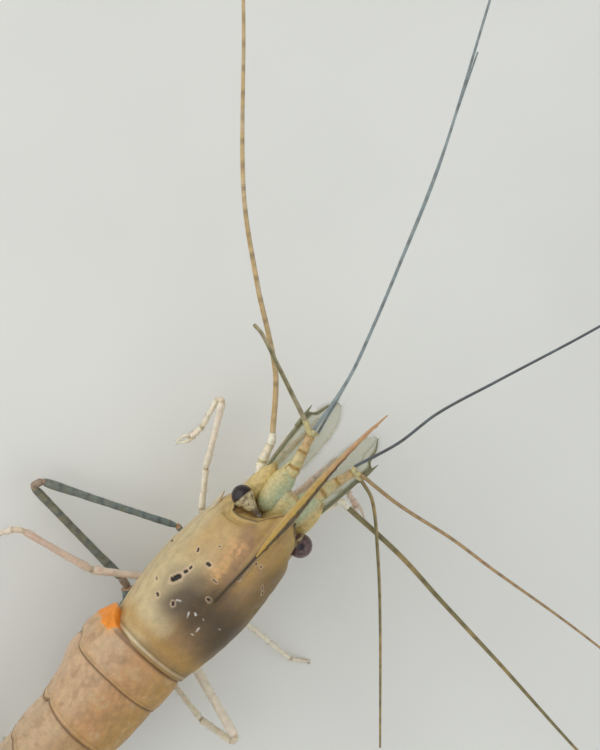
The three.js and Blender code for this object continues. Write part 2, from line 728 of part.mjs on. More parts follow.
function assemble() {
  addNode("carapace", carapace(), "shell");
  addNode("rostrum", rostrum(), "rostrum");
  addNode("head", head(), "head");
  SOMITE_LENGTHS.forEach((_, k) => {
    const ring = k < 5 ? join([somite(k), ...swimmerets(k)]) : somite(k);
    addNode(`somite_${k + 1}`, ring, "abdomen");
  });
  addNode("telson", telson(), "tail");
  for (const [name, side] of Object.entries(SIDES)) {
    addNode(`uropod_inner_${name}`, uropod("inner", side), "tail");
    addNode(`uropod_outer_${name}`, uropod("outer", side), "tail");
    addNode(`eyestalk_${name}`, eyestalk(side), "stalk");
    addNode(`cornea_${name}`, cornea(side), "eye");
    addNode(`antennal_scale_${name}`, antennalScale(side), "scale");
    addNode(`antennule_stem_${name}`, tube(mirrored(ANTENNULE_STEM, side), { sides: 8 }), "head");
    addNode(`antenna_stem_${name}`, tube(mirrored(ANTENNA_STEM, side), { sides: 8 }), "head");
    addNode(`palp_${name}`, tube(jointed(mirrored(PALP, side))), "leg");
  }
  for (const [name, spec] of Object.entries(FEELERS)) addNode(name, feeler(spec), "feeler");
  for (const [name, { upper, lower }] of Object.entries(WALKING_LEGS)) {
    addNode(`${name}_upper`, tube(jointed(upper)), "leg");
    addNode(`${name}_lower`, tube(jointed(lower), { foot: true }), "leg");
  }
  for (const [name, { upper, lower }] of Object.entries(FIRST_LEGS)) {
    addNode(`${name}_upper`, tube(jointed(upper)), "leg");
    addNode(`${name}_lower`, tube(jointed(lower)), "leg");
  }
  for (const [name, parts] of Object.entries(CLAW_LEGS)) {
    const palm = join([
      tube(parts.palm, { sides: 8, flat: 0.8 }),
      tube(parts.fixedFinger),
    ]);
    addNode(`${name}_arm`, tube(jointed(parts.arm), { sides: 7 }), "claw");
    addNode(`${name}_forearm`, tube(jointed(parts.forearm), { sides: 7 }), "claw");
    addNode(`${name}_palm`, palm, "claw");
    addNode(`${name}_finger`, tube(parts.finger), "claw");
  }
}

assemble();

// The origin is on the floor, under the middle of the whole prawn with its feelers.
const bounds = new THREE.Box3().setFromObject(prawn);
const middle = bounds.getCenter(v3());
prawn.position.set(-middle.x, -middle.y, -bounds.min.z);

const model = new THREE.Group();
model.name = "giant_river_prawn";
model.add(prawn);

export default model;
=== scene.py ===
"""A life-size giant river prawn, standing still on its walking legs, for a museum shelf.

Places are in millimetres in the prawn's own frame: x forward from the eye socket's rear edge,
y to the prawn's left, z up from the floor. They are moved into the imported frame, in metres, last.
"""

import logging
from dataclasses import dataclass, field
from enum import Enum

import bpy
import numpy as np
from mathutils import Matrix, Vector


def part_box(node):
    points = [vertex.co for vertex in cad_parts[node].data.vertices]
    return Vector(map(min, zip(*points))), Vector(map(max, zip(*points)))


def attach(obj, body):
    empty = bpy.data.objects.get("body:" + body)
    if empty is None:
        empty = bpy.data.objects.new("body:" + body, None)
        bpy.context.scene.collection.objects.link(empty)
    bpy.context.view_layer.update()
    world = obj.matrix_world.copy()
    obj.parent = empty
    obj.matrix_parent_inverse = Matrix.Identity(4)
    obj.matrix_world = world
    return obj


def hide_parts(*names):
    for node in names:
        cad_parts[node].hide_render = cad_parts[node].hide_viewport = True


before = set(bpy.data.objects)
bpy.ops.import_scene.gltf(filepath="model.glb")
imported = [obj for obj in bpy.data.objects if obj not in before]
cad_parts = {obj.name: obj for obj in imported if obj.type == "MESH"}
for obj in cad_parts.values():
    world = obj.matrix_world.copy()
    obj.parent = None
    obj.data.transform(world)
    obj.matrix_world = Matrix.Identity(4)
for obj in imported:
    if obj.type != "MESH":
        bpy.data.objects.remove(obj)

Array = np.ndarray
Point = tuple[float, float, float]
Stations = tuple[tuple[float, ...], ...]
Material = bpy.types.Material
Socket = bpy.types.NodeSocket

LOG = logging.getLogger("prawn")
METRES = 0.001
ROSTRUM_LENGTH = 48.5
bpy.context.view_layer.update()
UP = np.array([0.0, 0.0, 1.0])
FURROWS = 17
BAND_PITCH = 5.0
HAIR_CORNERS = 7


class Side(Enum):
    """The prawn's two sides, as the sign of y."""

    LEFT = 1.0
    RIGHT = -1.0

    @property
    def label(self) -> str:
        """The side's name, as the pieces have it."""
        return self.name.lower()

    def mirrored(self, rows: Array | list | tuple) -> Array:
        """The left side's points or stations, carried over to this side."""
        turned = np.array(rows, float)
        turned[..., 1] *= self.value
        return turned


# Small formulas on whole arrays


def unit(vectors: Array) -> Array:
    """Each vector divided by its own length."""
    return vectors / np.maximum(np.linalg.norm(vectors, axis=-1, keepdims=True), 1e-9)


def ramp(x: Array | float, low: float, high: float) -> Array:
    """0 below low, 1 above high, and 3t squared minus 2t cubed between them."""
    t = np.clip((np.asarray(x, float) - low) / (high - low), 0.0, 1.0)
    return t * t * (3.0 - 2.0 * t)


def hump(x: Array, centre: float, width: float) -> Array:
    """A bell of height 1 round centre: e to the minus ((x - centre) / width) squared."""
    return np.exp(-(((x - centre) / width) ** 2))


def bent(wave: Array, power: float) -> Array:
    """A sine or cosine raised to a power, with its sign kept, as in a superellipse."""
    return np.sign(wave) * np.abs(wave) ** power


def linear(*colour: int) -> Array:
    """A screen colour from 0 to 255 as linear light, by the usual 2.4 power curve."""
    share = np.array(colour, float) / 255.0
    return np.where(share <= 0.04045, share / 12.92, ((share + 0.055) / 1.055) ** 2.4)


def ripple(points: Array, size: float, seed: int) -> Array:
    """Soft uneven waves from about -1 to 1, the mean of nine sines in seeded directions.

    Args:
        points: places in millimetres.
        size: the waves' usual length.
        seed: picks the directions and phases.

    Returns:
        One value for each place.
    """
    rng = np.random.default_rng(seed)
    directions = unit(rng.normal(size=(3, 9)).T).T * (2.0 * np.pi / size)
    directions = directions * rng.uniform(0.6, 1.5, 9)
    return np.sin(points @ directions + rng.uniform(0.0, 6.28, 9)).mean(axis=-1) * 2.0


def roughened(points: Array, centre: Array, height: float, size: float, seed: int) -> Array:
    """Points pushed away from a centre, or drawn to it, by a ripple of a height."""
    return points + unit(points - centre) * (height * ripple(points, size, seed))[..., None]


def dipping(tilt: Array | float) -> tuple[Array, Array]:
    """The directions back and up of a part that dips to the rear by a tilt in degrees."""
    turn = np.radians(tilt)
    back = np.stack([-np.cos(turn), 0 * turn, -np.sin(turn)], -1)
    return back, np.stack([-np.sin(turn), 0 * turn, np.cos(turn)], -1)


def furrows(share: Array) -> Array:
    """Fine waves across a plate, from -1 to 1, at shares of its width."""
    return np.cos(2 * np.pi * share * FURROWS)


def distance_to_path(points: Array, path: Array | Stations) -> Array:
    """How far each point is from the nearest stretch of a path of straight pieces."""
    nearest = np.full(points.shape[:-1], np.inf)
    path = np.asarray(path, float)
    for start, end in zip(path[:-1], path[1:]):
        along = end - start
        t = np.clip((points - start) @ along / max(along @ along, 1e-9), 0.0, 1.0)
        nearest = np.minimum(nearest, np.linalg.norm(points - start - t[..., None] * along, axis=-1))
    return nearest


class Line:
    """A smooth curve through stations (x, value...), each piece a cubic with shared slopes.

    The slope at a station is the rise between its two neighbours over their run.
    """

    def __init__(self, stations: Stations | Array) -> None:
        """Works out the slopes of stations, which are rows of a rising x and one or more values."""
        table = np.asarray(stations, float)
        self.x = table[:, 0]
        self.values = table[:, 1:]
        before = np.maximum(np.arange(len(table)) - 1, 0)
        after = np.minimum(np.arange(len(table)) + 1, len(table) - 1)
        run = (self.x[after] - self.x[before])[:, None]
        self.slopes = (self.values[after] - self.values[before]) / run

    def __call__(self, x: Array | float) -> Array:
        """The curve's value, or values, at each x, held level outside the stations."""
        place = np.clip(np.asarray(x, float), self.x[0], self.x[-1])
        i = np.clip(np.searchsorted(self.x, place, side="right") - 1, 0, len(self.x) - 2)
        step = (self.x[i + 1] - self.x[i])[..., None]
        t = (place[..., None] - self.x[i][..., None]) / step
        keep = 2 * t**3 - 3 * t**2 + 1
        leave = (t**3 - 2 * t**2 + t) * step * self.slopes[i]
        arrive = (t**3 - t**2) * step * self.slopes[i + 1]
        value = keep * self.values[i] + leave + (1 - keep) * self.values[i + 1] + arrive
        return value[..., 0] if self.values.shape[1] == 1 else value


def curve_through(points: Array | list, steps: int) -> tuple[Array, Array]:
    """A smooth curve through points, sampled evenly along its length.

    Args:
        points: the places, one to a row.
        steps: how many samples to give back.

    Returns:
        The samples, and how far along the curve each lies.
    """
    corners = np.asarray(points, float)
    chord = np.concatenate([[0.0], np.cumsum(np.linalg.norm(np.diff(corners, axis=0), axis=1))])
    fine = Line(np.column_stack([chord, corners]))(np.linspace(0.0, chord[-1], steps * 4))
    run = np.concatenate([[0.0], np.cumsum(np.linalg.norm(np.diff(fine, axis=0), axis=1))])
    along = np.linspace(0.0, run[-1], steps)
    return np.column_stack([np.interp(along, run, fine[:, i]) for i in range(3)]), along


def stand(name: str, data: bpy.types.ID, axes: Array, place: Array) -> bpy.types.Object:
    """Stands a camera or lamp in the scene.

    Args:
        name: the object's name.
        data: the camera or lamp.
        axes: its right, up and backward directions, as rows.
        place: where it stands, in metres.

    Returns:
        The object.
    """
    piece = bpy.data.objects.new(name, data)
    turn = Matrix([list(row) for row in axes.T]).to_4x4()
    turn.translation = [float(v) for v in place]
    piece.matrix_world = turn
    bpy.context.scene.collection.objects.link(piece)
    return piece


# The photograph's viewpoint


@dataclass(frozen=True)
class Viewpoint:
    """The camera: nearly overhead, leaning to the prawn's left, its head up and to the right.

    A pixel is a place in an image of 600 by 750. A point falls on it by the pinhole rule: its share
    of the right and up axes over its depth, times the focal length.
    """

    lens: float = 82.0
    sensor: float = 36.0
    distance: float = 547.0
    lean: float = 16.7
    turn: float = 47.7
    aim: Point = (0.0, 0.0, 49.5)
    aim_pixel: tuple[float, float] = (283.0, 525.0)
    width: int = 600
    height: int = 750

    @property
    def focal(self) -> float:
        """The focal length in pixels, which the frame's longer side sets."""
        return self.lens / self.sensor * self.height

    def axes(self) -> Array:
        """The camera's right, up and backward directions, as three rows."""
        lean, turn = np.radians(self.lean), np.radians(self.turn)
        ahead = np.array([1.0, 0.0, 0.0])
        leftward = np.array([0.0, np.cos(lean), -np.sin(lean)])
        right = np.cos(turn) * ahead - np.sin(turn) * leftward
        up = np.sin(turn) * ahead + np.cos(turn) * leftward
        return np.stack([right, up, np.cross(right, up)])

    def centre(self) -> Array:
        """Where the camera stands, so that the aim point falls on the aim pixel."""
        across = (self.aim_pixel[0] - self.width / 2) / self.focal * self.distance
        down = (self.aim_pixel[1] - self.height / 2) / self.focal * self.distance
        return np.array(self.aim) - np.array([across, -down, -self.distance]) @ self.axes()

    def pixels(self, points: Array) -> Array:
        """The pixels on which points of the prawn's frame fall, one row each."""
        seen = (points - self.centre()) @ self.axes().T
        scale = self.focal / -seen[..., 2]
        across = self.width / 2 + seen[..., 0] * scale
        return np.stack([across, self.height / 2 - seen[..., 1] * scale], -1)

    def on_surface(self, points: Array, pixels: Stations) -> Array:
        """The surface points that the camera sees at some pixels.

        Args:
            points: the surface's points, close together.
            pixels: image places.

        Returns:
            For each pixel, of the sixteen points nearest to it, the one nearest the camera.
        """
        flat = points.reshape(-1, 3)
        places = self.pixels(flat)
        height = flat @ self.axes()[2]
        found = []
        for pixel in pixels:
            near = np.argpartition(np.linalg.norm(places - np.array(pixel, float), axis=1), 16)[:16]
            found.append(flat[near[np.argmax(height[near])]])
        return np.array(found)

    def stroke(self, points: Array, pixels: Stations) -> Array:
        """How far each of a surface's points is from a stroke drawn on it through some pixels."""
        return distance_to_path(points, self.on_surface(points, pixels))

    def place(self, shift: Array) -> None:
        """Puts the scene's camera there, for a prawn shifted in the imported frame."""
        data = bpy.data.cameras.new("camera")
        data.lens = self.lens
        data.sensor_width = self.sensor
        data.clip_start = 0.01
        place = (self.centre() + shift) * METRES
        bpy.context.scene.camera = stand("camera", data, self.axes(), place)


VIEW = Viewpoint()


# Surfaces and the meshes made of them


@dataclass
class Patch:
    """A grid of points, closed round its columns and closed by a pole at each end.

    The tint is linear red, green and blue at each point. The fill at a pole is the ring's mean
    point unless a point is given.
    """

    points: Array
    tint: Array
    start: Array | None = None
    end: Array | None = None

    def vertices(self) -> Array:
        """The grid's points, row by row, and then the two poles."""
        first = self.points[0].mean(axis=0) if self.start is None else self.start
        last = self.points[-1].mean(axis=0) if self.end is None else self.end
        return np.vstack([self.points.reshape(-1, 3), first, last])

    def tints(self) -> Array:
        """The colours of the vertices, in the same order, opaque unless they say otherwise."""
        rows, columns = self.points.shape[:2]
        tint = np.asarray(self.tint, float)
        if tint.shape[-1] == 3:
            tint = np.concatenate([tint, np.ones(tint.shape[:-1] + (1,))], axis=-1)
        colours = np.broadcast_to(tint, (rows, columns, 4))
        ends = [colours[0].mean(axis=0), colours[-1].mean(axis=0)]
        return np.vstack([colours.reshape(-1, 4), *ends])

    def faces(self) -> tuple[Array, Array]:
        """Quads between the rows and fans at the poles, facing outwards.

        The enclosed volume, a sum of corner triple products, is negative where they face inwards.

        Returns:
            The quads and the triangles, as vertex numbers.
        """
        rows, columns = self.points.shape[:2]
        grid = np.arange(rows * columns).reshape(rows, columns)
        grid = np.concatenate([grid, grid[:, :1]], axis=1)
        corners = [grid[:-1, :-1], grid[:-1, 1:], grid[1:, 1:], grid[1:, :-1]]
        quads = np.stack(corners, -1).reshape(-1, 4)
        near = np.full(columns, rows * columns)
        fans = [np.stack([grid[0, 1:], grid[0, :-1], near], -1)]
        fans.append(np.stack([grid[-1, :-1], grid[-1, 1:], near + 1], -1))
        fans = np.vstack(fans)
        places = self.vertices()
        places = places - places.mean(axis=0)
        split = np.vstack([quads[:, [0, 1, 2]], quads[:, [0, 2, 3]], fans])
        a, b, c = (places[split[:, i]] for i in range(3))
        if np.einsum("ij,ij->", a, np.cross(b, c)) < 0:
            return quads[:, ::-1], fans[:, ::-1]
        return quads, fans


@dataclass
class Maker:
    """Turns surfaces into pieces of the model, each shifted into place and hung under the root body, and
    hides the imported nodes that they replace.
    """

    shift: Array
    finishes: dict[str, Material]
    made: int = 0

    def piece(self, name: str, vertices: Array, faces: list, tints: Array, slot: str,
              finish: str) -> bpy.types.Object:
        """One mesh object at the origin, smooth, and nowhere lower than the floor.

        Args:
            name: the piece's name.
            vertices: its corners, in millimetres.
            faces: its faces, as vertex numbers.
            tints: the corners' colours and alphas.
            slot: the record's material slot; not used.
            finish: which finish it has.

        Returns:
            The object.
        """
        vertices[:, 2] = np.maximum(vertices[:, 2], 0.0)
        mesh = bpy.data.meshes.new(name)
        mesh.from_pydata((vertices + self.shift) * METRES, [], faces)
        colour = mesh.attributes.new("tint", "FLOAT_COLOR", "POINT")
        colour.data.foreach_set("color", tints.astype(np.float32).ravel())
        mesh.polygons.foreach_set("use_smooth", np.ones(len(mesh.polygons), bool))
        mesh.update()
        mesh.materials.append(self.finishes[finish])
        piece = bpy.data.objects.new(name, mesh)
        bpy.context.scene.collection.objects.link(piece)
        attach(piece, "root")
        self.made += 1
        LOG.info("%s: %d faces", name, len(faces))
        return piece

    def finish(self, name: str, patches: list[Patch], slot: str, *nodes: str, finish: str = "") -> None:
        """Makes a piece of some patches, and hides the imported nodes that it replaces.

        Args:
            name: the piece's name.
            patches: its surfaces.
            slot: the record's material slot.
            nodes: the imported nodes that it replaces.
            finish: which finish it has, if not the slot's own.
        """
        places = [patch.vertices() for patch in patches]
        faces, count = [], 0
        for patch, part in zip(patches, places):
            for group in patch.faces():
                faces.extend((group + count).tolist())
            count += len(part)
        tints = np.vstack([patch.tints() for patch in patches])
        piece = self.piece(name, np.vstack(places), faces, tints, slot, finish or slot)
        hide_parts(*nodes)


def sweep(path: Array, radii: Array, sides: int, reference: Array | None = None,
          flat: float = 1.0) -> Array:
    """A tube: at each step of a path, a ring of points in the plane across it.

    Args:
        path: the centre line.
        radii: the radius at each step.
        sides: how many points make a ring.
        reference: what the ring's first axis keeps to, or None for where the path spreads least.
        flat: the height along the reference, as a share of the width.

    Returns:
        The rings' points.
    """
    ahead = unit(np.gradient(path, axis=0))
    if reference is None:
        reference = np.linalg.svd(path - path.mean(axis=0) + 1e-6)[2][2]
    first = unit(reference - (ahead @ reference)[:, None] * ahead)
    second = np.cross(ahead, first)
    angle = np.linspace(0.0, 2.0 * np.pi, sides, endpoint=False)
    radius = np.asarray(radii, float).reshape(len(path), -1, 1)
    wave = np.cos(angle)[None, :, None] * first[:, None] * flat
    return path[:, None] + radius * (wave + np.sin(angle)[None, :, None] * second[:, None])


def spine(route: list[Point], radii: tuple[float, ...], tint: Array) -> Patch:
    """A short pointed spine, a tapering tube with ten sides."""
    path, along = curve_through(route, 9)
    size = np.interp(along, np.linspace(0.0, along[-1], len(radii)), radii)
    return Patch(sweep(path, size, 10), tint)


def bristles(roots: Array, tips: Array, thickness: float) -> tuple[Array, Array]:
    """Fine tapering hairs, each a three-sided spike of seven corners in two lengths.

    Args:
        roots: where the hairs grow.
        tips: where they end.
        thickness: the radius at the root.

    Returns:
        The vertices and the triangles.
    """
    ahead = unit(tips - roots)
    aside = unit(np.cross(ahead, np.array([0.31, 0.42, 0.85])))
    other = np.cross(ahead, aside)
    middle = roots + 0.5 * (tips - roots)
    angle = np.arange(3) * 2.0 * np.pi / 3.0
    star = np.cos(angle)[None, :, None] * aside[:, None] + np.sin(angle)[None, :, None] * other[:, None]
    rings = [roots[:, None] + star * thickness, middle[:, None] + star * thickness * 0.6, tips[:, None]]
    i = np.arange(3)
    j = (i + 1) % 3
    low = np.concatenate([np.stack([i, j, j + 3], -1), np.stack([i, j + 3, i + 3], -1)])
    one = np.concatenate([low, np.stack([i + 3, j + 3, np.full(3, 6)], -1), [[2, 1, 0]]])
    first = np.arange(len(roots)) * HAIR_CORNERS
    faces = (one[None] + first[:, None, None]).reshape(-1, 3)
    return np.concatenate(rings, axis=1).reshape(-1, 3), faces


# Finishes


class Bench:
    """Adds nodes to a tree and links them, so that a finish reads as a recipe."""

    def __init__(self, tree: bpy.types.NodeTree) -> None:
        """Keeps the tree that the nodes go into."""
        self.tree = tree

    def add(self, kind: str, inputs: dict, **settings: object) -> bpy.types.Node:
        """Adds a node.

        Args:
            kind: the node's type.
            inputs: values or linked sockets, by name or number.
            settings: the node's own options.

        Returns:
            The node.
        """
        node = self.tree.nodes.new(kind)
        for key, value in settings.items():
            setattr(node, key, value)
        for key, value in inputs.items():
            if isinstance(value, Socket):
                self.tree.links.new(value, node.inputs[key])
            else:
                node.inputs[key].default_value = value
        return node

    def math(self, operation: str, *values: object) -> Socket:
        """The result of a Math node on the values."""
        return self.add("ShaderNodeMath", dict(enumerate(values)), operation=operation).outputs[0]

    def remap(self, value: object, *ends: float) -> Socket:
        """A value carried smoothly from a range's two ends to another's, and held at its ends."""
        ranges = dict(zip(("From Min", "From Max", "To Min", "To Max"), ends), Value=value)
        return self.add("ShaderNodeMapRange", ranges, interpolation_type="SMOOTHSTEP").outputs["Result"]

    def over(self, share: object, under: object, top: object) -> Socket:
        """One colour laid over another by a share."""
        return self.add("ShaderNodeMix", {0: share, 6: under, 7: top}, data_type="RGBA").outputs[2]

    def scaled(self, colour: Socket, share: Socket) -> Socket:
        """A colour times a number."""
        return self.add("ShaderNodeVectorMath", {0: colour, "Scale": share}, operation="SCALE").outputs[0]

    def place(self) -> Socket:
        """The object's own coordinates."""
        return self.add("ShaderNodeTexCoord", {}).outputs["Object"]

    def noise(self, place: object, scale: object, detail: float) -> Socket:
        """A cloudy noise from 0 to 1 at a place."""
        given = {"Vector": place, "Scale": scale, "Detail": detail}
        return self.add("ShaderNodeTexNoise", given).outputs["Fac"]

    def cells(self, place: object, scale: object) -> Socket:
        """A pattern of cells: how far each place is from its cell's middle."""
        return self.add("ShaderNodeTexVoronoi", {"Vector": place, "Scale": scale}).outputs["Distance"]

    def bump(self, height: Socket, strength: float, distance: float) -> Socket:
        """The normal that a height gives."""
        given = {"Height": height, "Strength": strength, "Distance": distance}
        return self.add("ShaderNodeBump", given).outputs["Normal"]

    def surface(self, inputs: dict) -> None:
        """Ends a material: a Principled shader with some inputs, linked to the output."""
        shader = self.add("ShaderNodeBsdfPrincipled", inputs)
        self.add("ShaderNodeOutputMaterial", {"Surface": shader.outputs[0]})


def blank(name: str) -> tuple[Material, Bench]:
    """A new material without nodes, and a bench on it."""
    material = bpy.data.materials.new(name)
    material.use_nodes = True
    material.node_tree.nodes.clear()
    return material, Bench(material.node_tree)


def group_of(name: str, inputs: dict[str, str], outputs: dict[str, str]) -> tuple[Bench, dict]:
    """Starts a shader node group.

    Args:
        name: the group's name.
        inputs: the input sockets' kinds.
        outputs: the output sockets' kinds.

    Returns:
        A bench on the group's tree, and its input sockets.
    """
    tree = bpy.data.node_groups.new(name, "ShaderNodeTree")
    for direction, sockets in (("INPUT", inputs), ("OUTPUT", outputs)):
        for socket, kind in sockets.items():
            tree.interface.new_socket(name=socket, in_out=direction, socket_type=f"NodeSocket{kind}")
    entry = tree.nodes.new("NodeGroupInput")
    return Bench(tree), {socket: entry.outputs[socket] for socket in inputs}


def mottling_group() -> bpy.types.NodeTree:
    """Pigment in a clear shell: clouds that shade the tint, dark dots, and rarer pale dots.

    Returns:
        A group that puts out the mottled colour and the clouds as a mask.
    """
    inputs = {"Tint": "Color", "Place": "Vector", "Clouds": "Float", "Strength": "Float", "Dots": "Float",
              "Dot Scale": "Float"}
    bench, given = group_of("mottling", inputs, {"Colour": "Color", "Mask": "Float"})
    place, size = given["Place"], given["Dot Scale"]
    broad = bench.noise(place, given["Clouds"], 5.0)
    fine = bench.noise(place, bench.math("MULTIPLY", given["Clouds"], 5.5), 3.0)
    clouds = bench.math("ADD", bench.math("MULTIPLY", broad, 0.6), bench.math("MULTIPLY", fine, 0.4))
    centred = bench.remap(clouds, 0.32, 0.68, -1.0, 1.0)
    shaded = bench.scaled(given["Tint"], bench.math("MULTIPLY_ADD", centred, given["Strength"], 1.0))
    round_dots = bench.remap(bench.cells(place, size), 0.12, 0.34, 1.0, 0.0)
    dots = bench.math("MULTIPLY", round_dots, bench.remap(fine, 0.4, 0.6, 0.0, 1.0))
    spotted = bench.over(bench.math("MULTIPLY", dots, given["Dots"]), shaded, (0.02, 0.014, 0.006, 1.0))
    moved = bench.add("ShaderNodeVectorMath", {0: place, 1: (0.37, 0.11, 0.23)}, operation="ADD").outputs[0]
    rare = bench.remap(bench.cells(moved, bench.math("MULTIPLY", size, 0.55)), 0.06, 0.17, 0.5, 0.0)
    colour = bench.over(bench.math("MULTIPLY", rare, given["Dots"]), spotted, (0.75, 0.68, 0.5, 1.0))
    bench.add("NodeGroupOutput", {"Colour": colour, "Mask": clouds})
    return bench.tree


def grain_group() -> bpy.types.NodeTree:
    """The shell's relief: small pricked pits in cells, and a fine uneven grain.

    Returns:
        A group that puts out the height.
    """
    bench, given = group_of("shell grain", {"Place": "Vector", "Grain": "Float"}, {"Height": "Float"})
    place, size = given["Place"], given["Grain"]
    pits = bench.remap(bench.cells(place, size), 0.05, 0.35, 0.0, 1.0)
    fine = bench.noise(place, bench.math("MULTIPLY", size, 2.3), 2.0)
    height = bench.math("ADD", bench.math("MULTIPLY", pits, 0.6), bench.math("MULTIPLY", fine, 0.8))
    bench.add("NodeGroupOutput", {"Height": height})
    return bench.tree


@dataclass(frozen=True)
class ShellFinish:
    """Shell in its piece's own tint, mottled, dotted, finely pitted and wet.

    Sizes are in millimetres. The glow is the share of light that scatters inside the shell.
    """

    name: str
    clouds: float = 3.0
    strength: float = 0.22
    dots: float = 0.35
    dot_size: float = 0.55
    roughness: float = 0.34
    coat: float = 0.3
    grain: float = 0.45
    depth: float = 0.035
    glow: float = 0.12
    clear: bool = False

    def build(self, mottling: bpy.types.NodeTree, grain: bpy.types.NodeTree) -> Material:
        """The finish as a material, with the groups that give the shell its colour and relief."""
        material, bench = blank(self.name)
        place = bench.place()
        tint = bench.add("ShaderNodeAttribute", {}, attribute_name="tint")
        colour = bench.add("ShaderNodeGroup", {
            "Tint": tint.outputs["Color"], "Place": place, "Clouds": 1.0 / (self.clouds * METRES),
            "Strength": self.strength, "Dots": self.dots, "Dot Scale": 1.0 / (self.dot_size * METRES)},
            node_tree=mottling)
        pitted = {"Place": place, "Grain": 1.0 / (self.grain * METRES)}
        relief = bench.add("ShaderNodeGroup", pitted, node_tree=grain).outputs["Height"]
        rough = bench.remap(colour.outputs["Mask"], 0.3, 0.7, self.roughness - 0.08, self.roughness + 0.1)
        bench.surface({
            "Base Color": colour.outputs["Colour"], "Roughness": rough,
            "Normal": bench.bump(relief, 0.6, self.depth * METRES),
            "Coat Weight": self.coat, "Coat Roughness": 0.18, "Subsurface Weight": self.glow,
            "Subsurface Radius": (1.0, 0.6, 0.35), "Subsurface Scale": 0.0012,
            "Alpha": tint.outputs["Alpha"] if self.clear else 1.0})
        return material


@dataclass(frozen=True)
class EyeFinish:
    """The cornea: a dark dome of tiny facets, deep in its middle and very glossy."""

    name: str = "cornea"
    facet: float = 0.16

    def build(self) -> Material:
        """The finish as a material, with a bump of facets and a clear coat."""
        material, bench = blank(self.name)
        place = bench.place()
        tint = bench.add("ShaderNodeAttribute", {}, attribute_name="tint").outputs["Color"]
        cells = bench.cells(place, 1.0 / (self.facet * METRES))
        blotch = bench.remap(bench.noise(place, 900.0, 4.0), 0.35, 0.65, 0.72, 1.3)
        rim = bench.math("MULTIPLY", bench.remap(cells, 0.3, 0.62, 0.0, 1.0), 0.35)
        bench.surface({
            "Base Color": bench.over(rim, bench.scaled(tint, blotch), (0.01, 0.006, 0.008, 1.0)),
            "Roughness": bench.remap(cells, 0.1, 0.6, 0.16, 0.34), "Normal": bench.bump(cells, 0.5, 0.00003),
            "Coat Weight": 0.35, "Coat Roughness": 0.06, "Specular IOR Level": 0.3})
        return material


class Hue:
    """The prawn's colours, as linear light, each named for where it shows."""

    flank = linear(200, 179, 136)
    saddle = linear(152, 120, 78)
    mauve = linear(142, 108, 82)
    gold = linear(190, 152, 78)
    organs = linear(70, 54, 32)
    band = linear(180, 140, 70)
    olive = linear(152, 126, 76)
    rim = linear(222, 203, 168)
    right_flank = linear(120, 95, 45)
    line = linear(52, 38, 14)
    groove = linear(92, 70, 24)
    rostrum_base = linear(180, 146, 66)
    rostrum_tip = linear(184, 142, 102)
    head = linear(196, 180, 122)
    glass = linear(178, 188, 150)
    stem = linear(200, 186, 132)
    front = linear(186, 150, 92)
    cream_base = linear(210, 184, 116)
    salmon = linear(188, 142, 94)
    pleura = linear(206, 178, 148)
    joint = linear(104, 72, 40)
    rear = linear(154, 144, 112)
    ivory = linear(236, 228, 204)
    orange = linear(240, 140, 18)
    blue_rod = linear(112, 128, 126)
    olive_rod = linear(122, 118, 92)
    feeler_olive = linear(122, 118, 76)
    feeler_gold = linear(204, 166, 98)
    feeler_blue = linear(104, 118, 126)
    feeler_dark = linear(70, 78, 84)
    feeler_tan = linear(178, 150, 104)
    cornea_left = linear(40, 24, 26)
    cornea_right = linear(112, 86, 86)
    pupil = linear(18, 10, 14)
    stalk = linear(186, 172, 130)
    setae = linear(190, 164, 112)
    pale_hair = linear(206, 208, 196)
    hole = linear(16, 12, 10)
    peach = linear(222, 170, 112)
    fleck = linear(244, 240, 230)
    halo = linear(222, 192, 160)
    pink = linear(210, 172, 150)
    blush = linear(224, 206, 186)
    cream_joint = linear(190, 168, 132)
    claw_joint = linear(176, 128, 84)
    feeler_clear = linear(158, 172, 172)


class Paint:
    """Colours laid over one another on a surface's points, each by its own mask."""

    def __init__(self, points: Array, base: Array) -> None:
        """Starts with one colour everywhere."""
        self.points = points
        self.colours = np.broadcast_to(base, points.shape[:-1] + (3,)).copy()

    def over(self, mask: Array, colour: Array) -> None:
        """Lays a colour over the rest, by a mask from 0 to 1."""
        share = np.clip(mask, 0.0, 1.0)[..., None]
        self.colours = self.colours * (1.0 - share) + colour * share

    def blotch(self, share: float, size: float, seed: int, low: float, high: float, colour: Array) -> None:
        """Lays a colour over in soft blotches, where a ripple climbs from low to high."""
        self.over(share * ramp(ripple(self.points, size, seed), low, high), colour)


# Head shield, rostrum and eyes


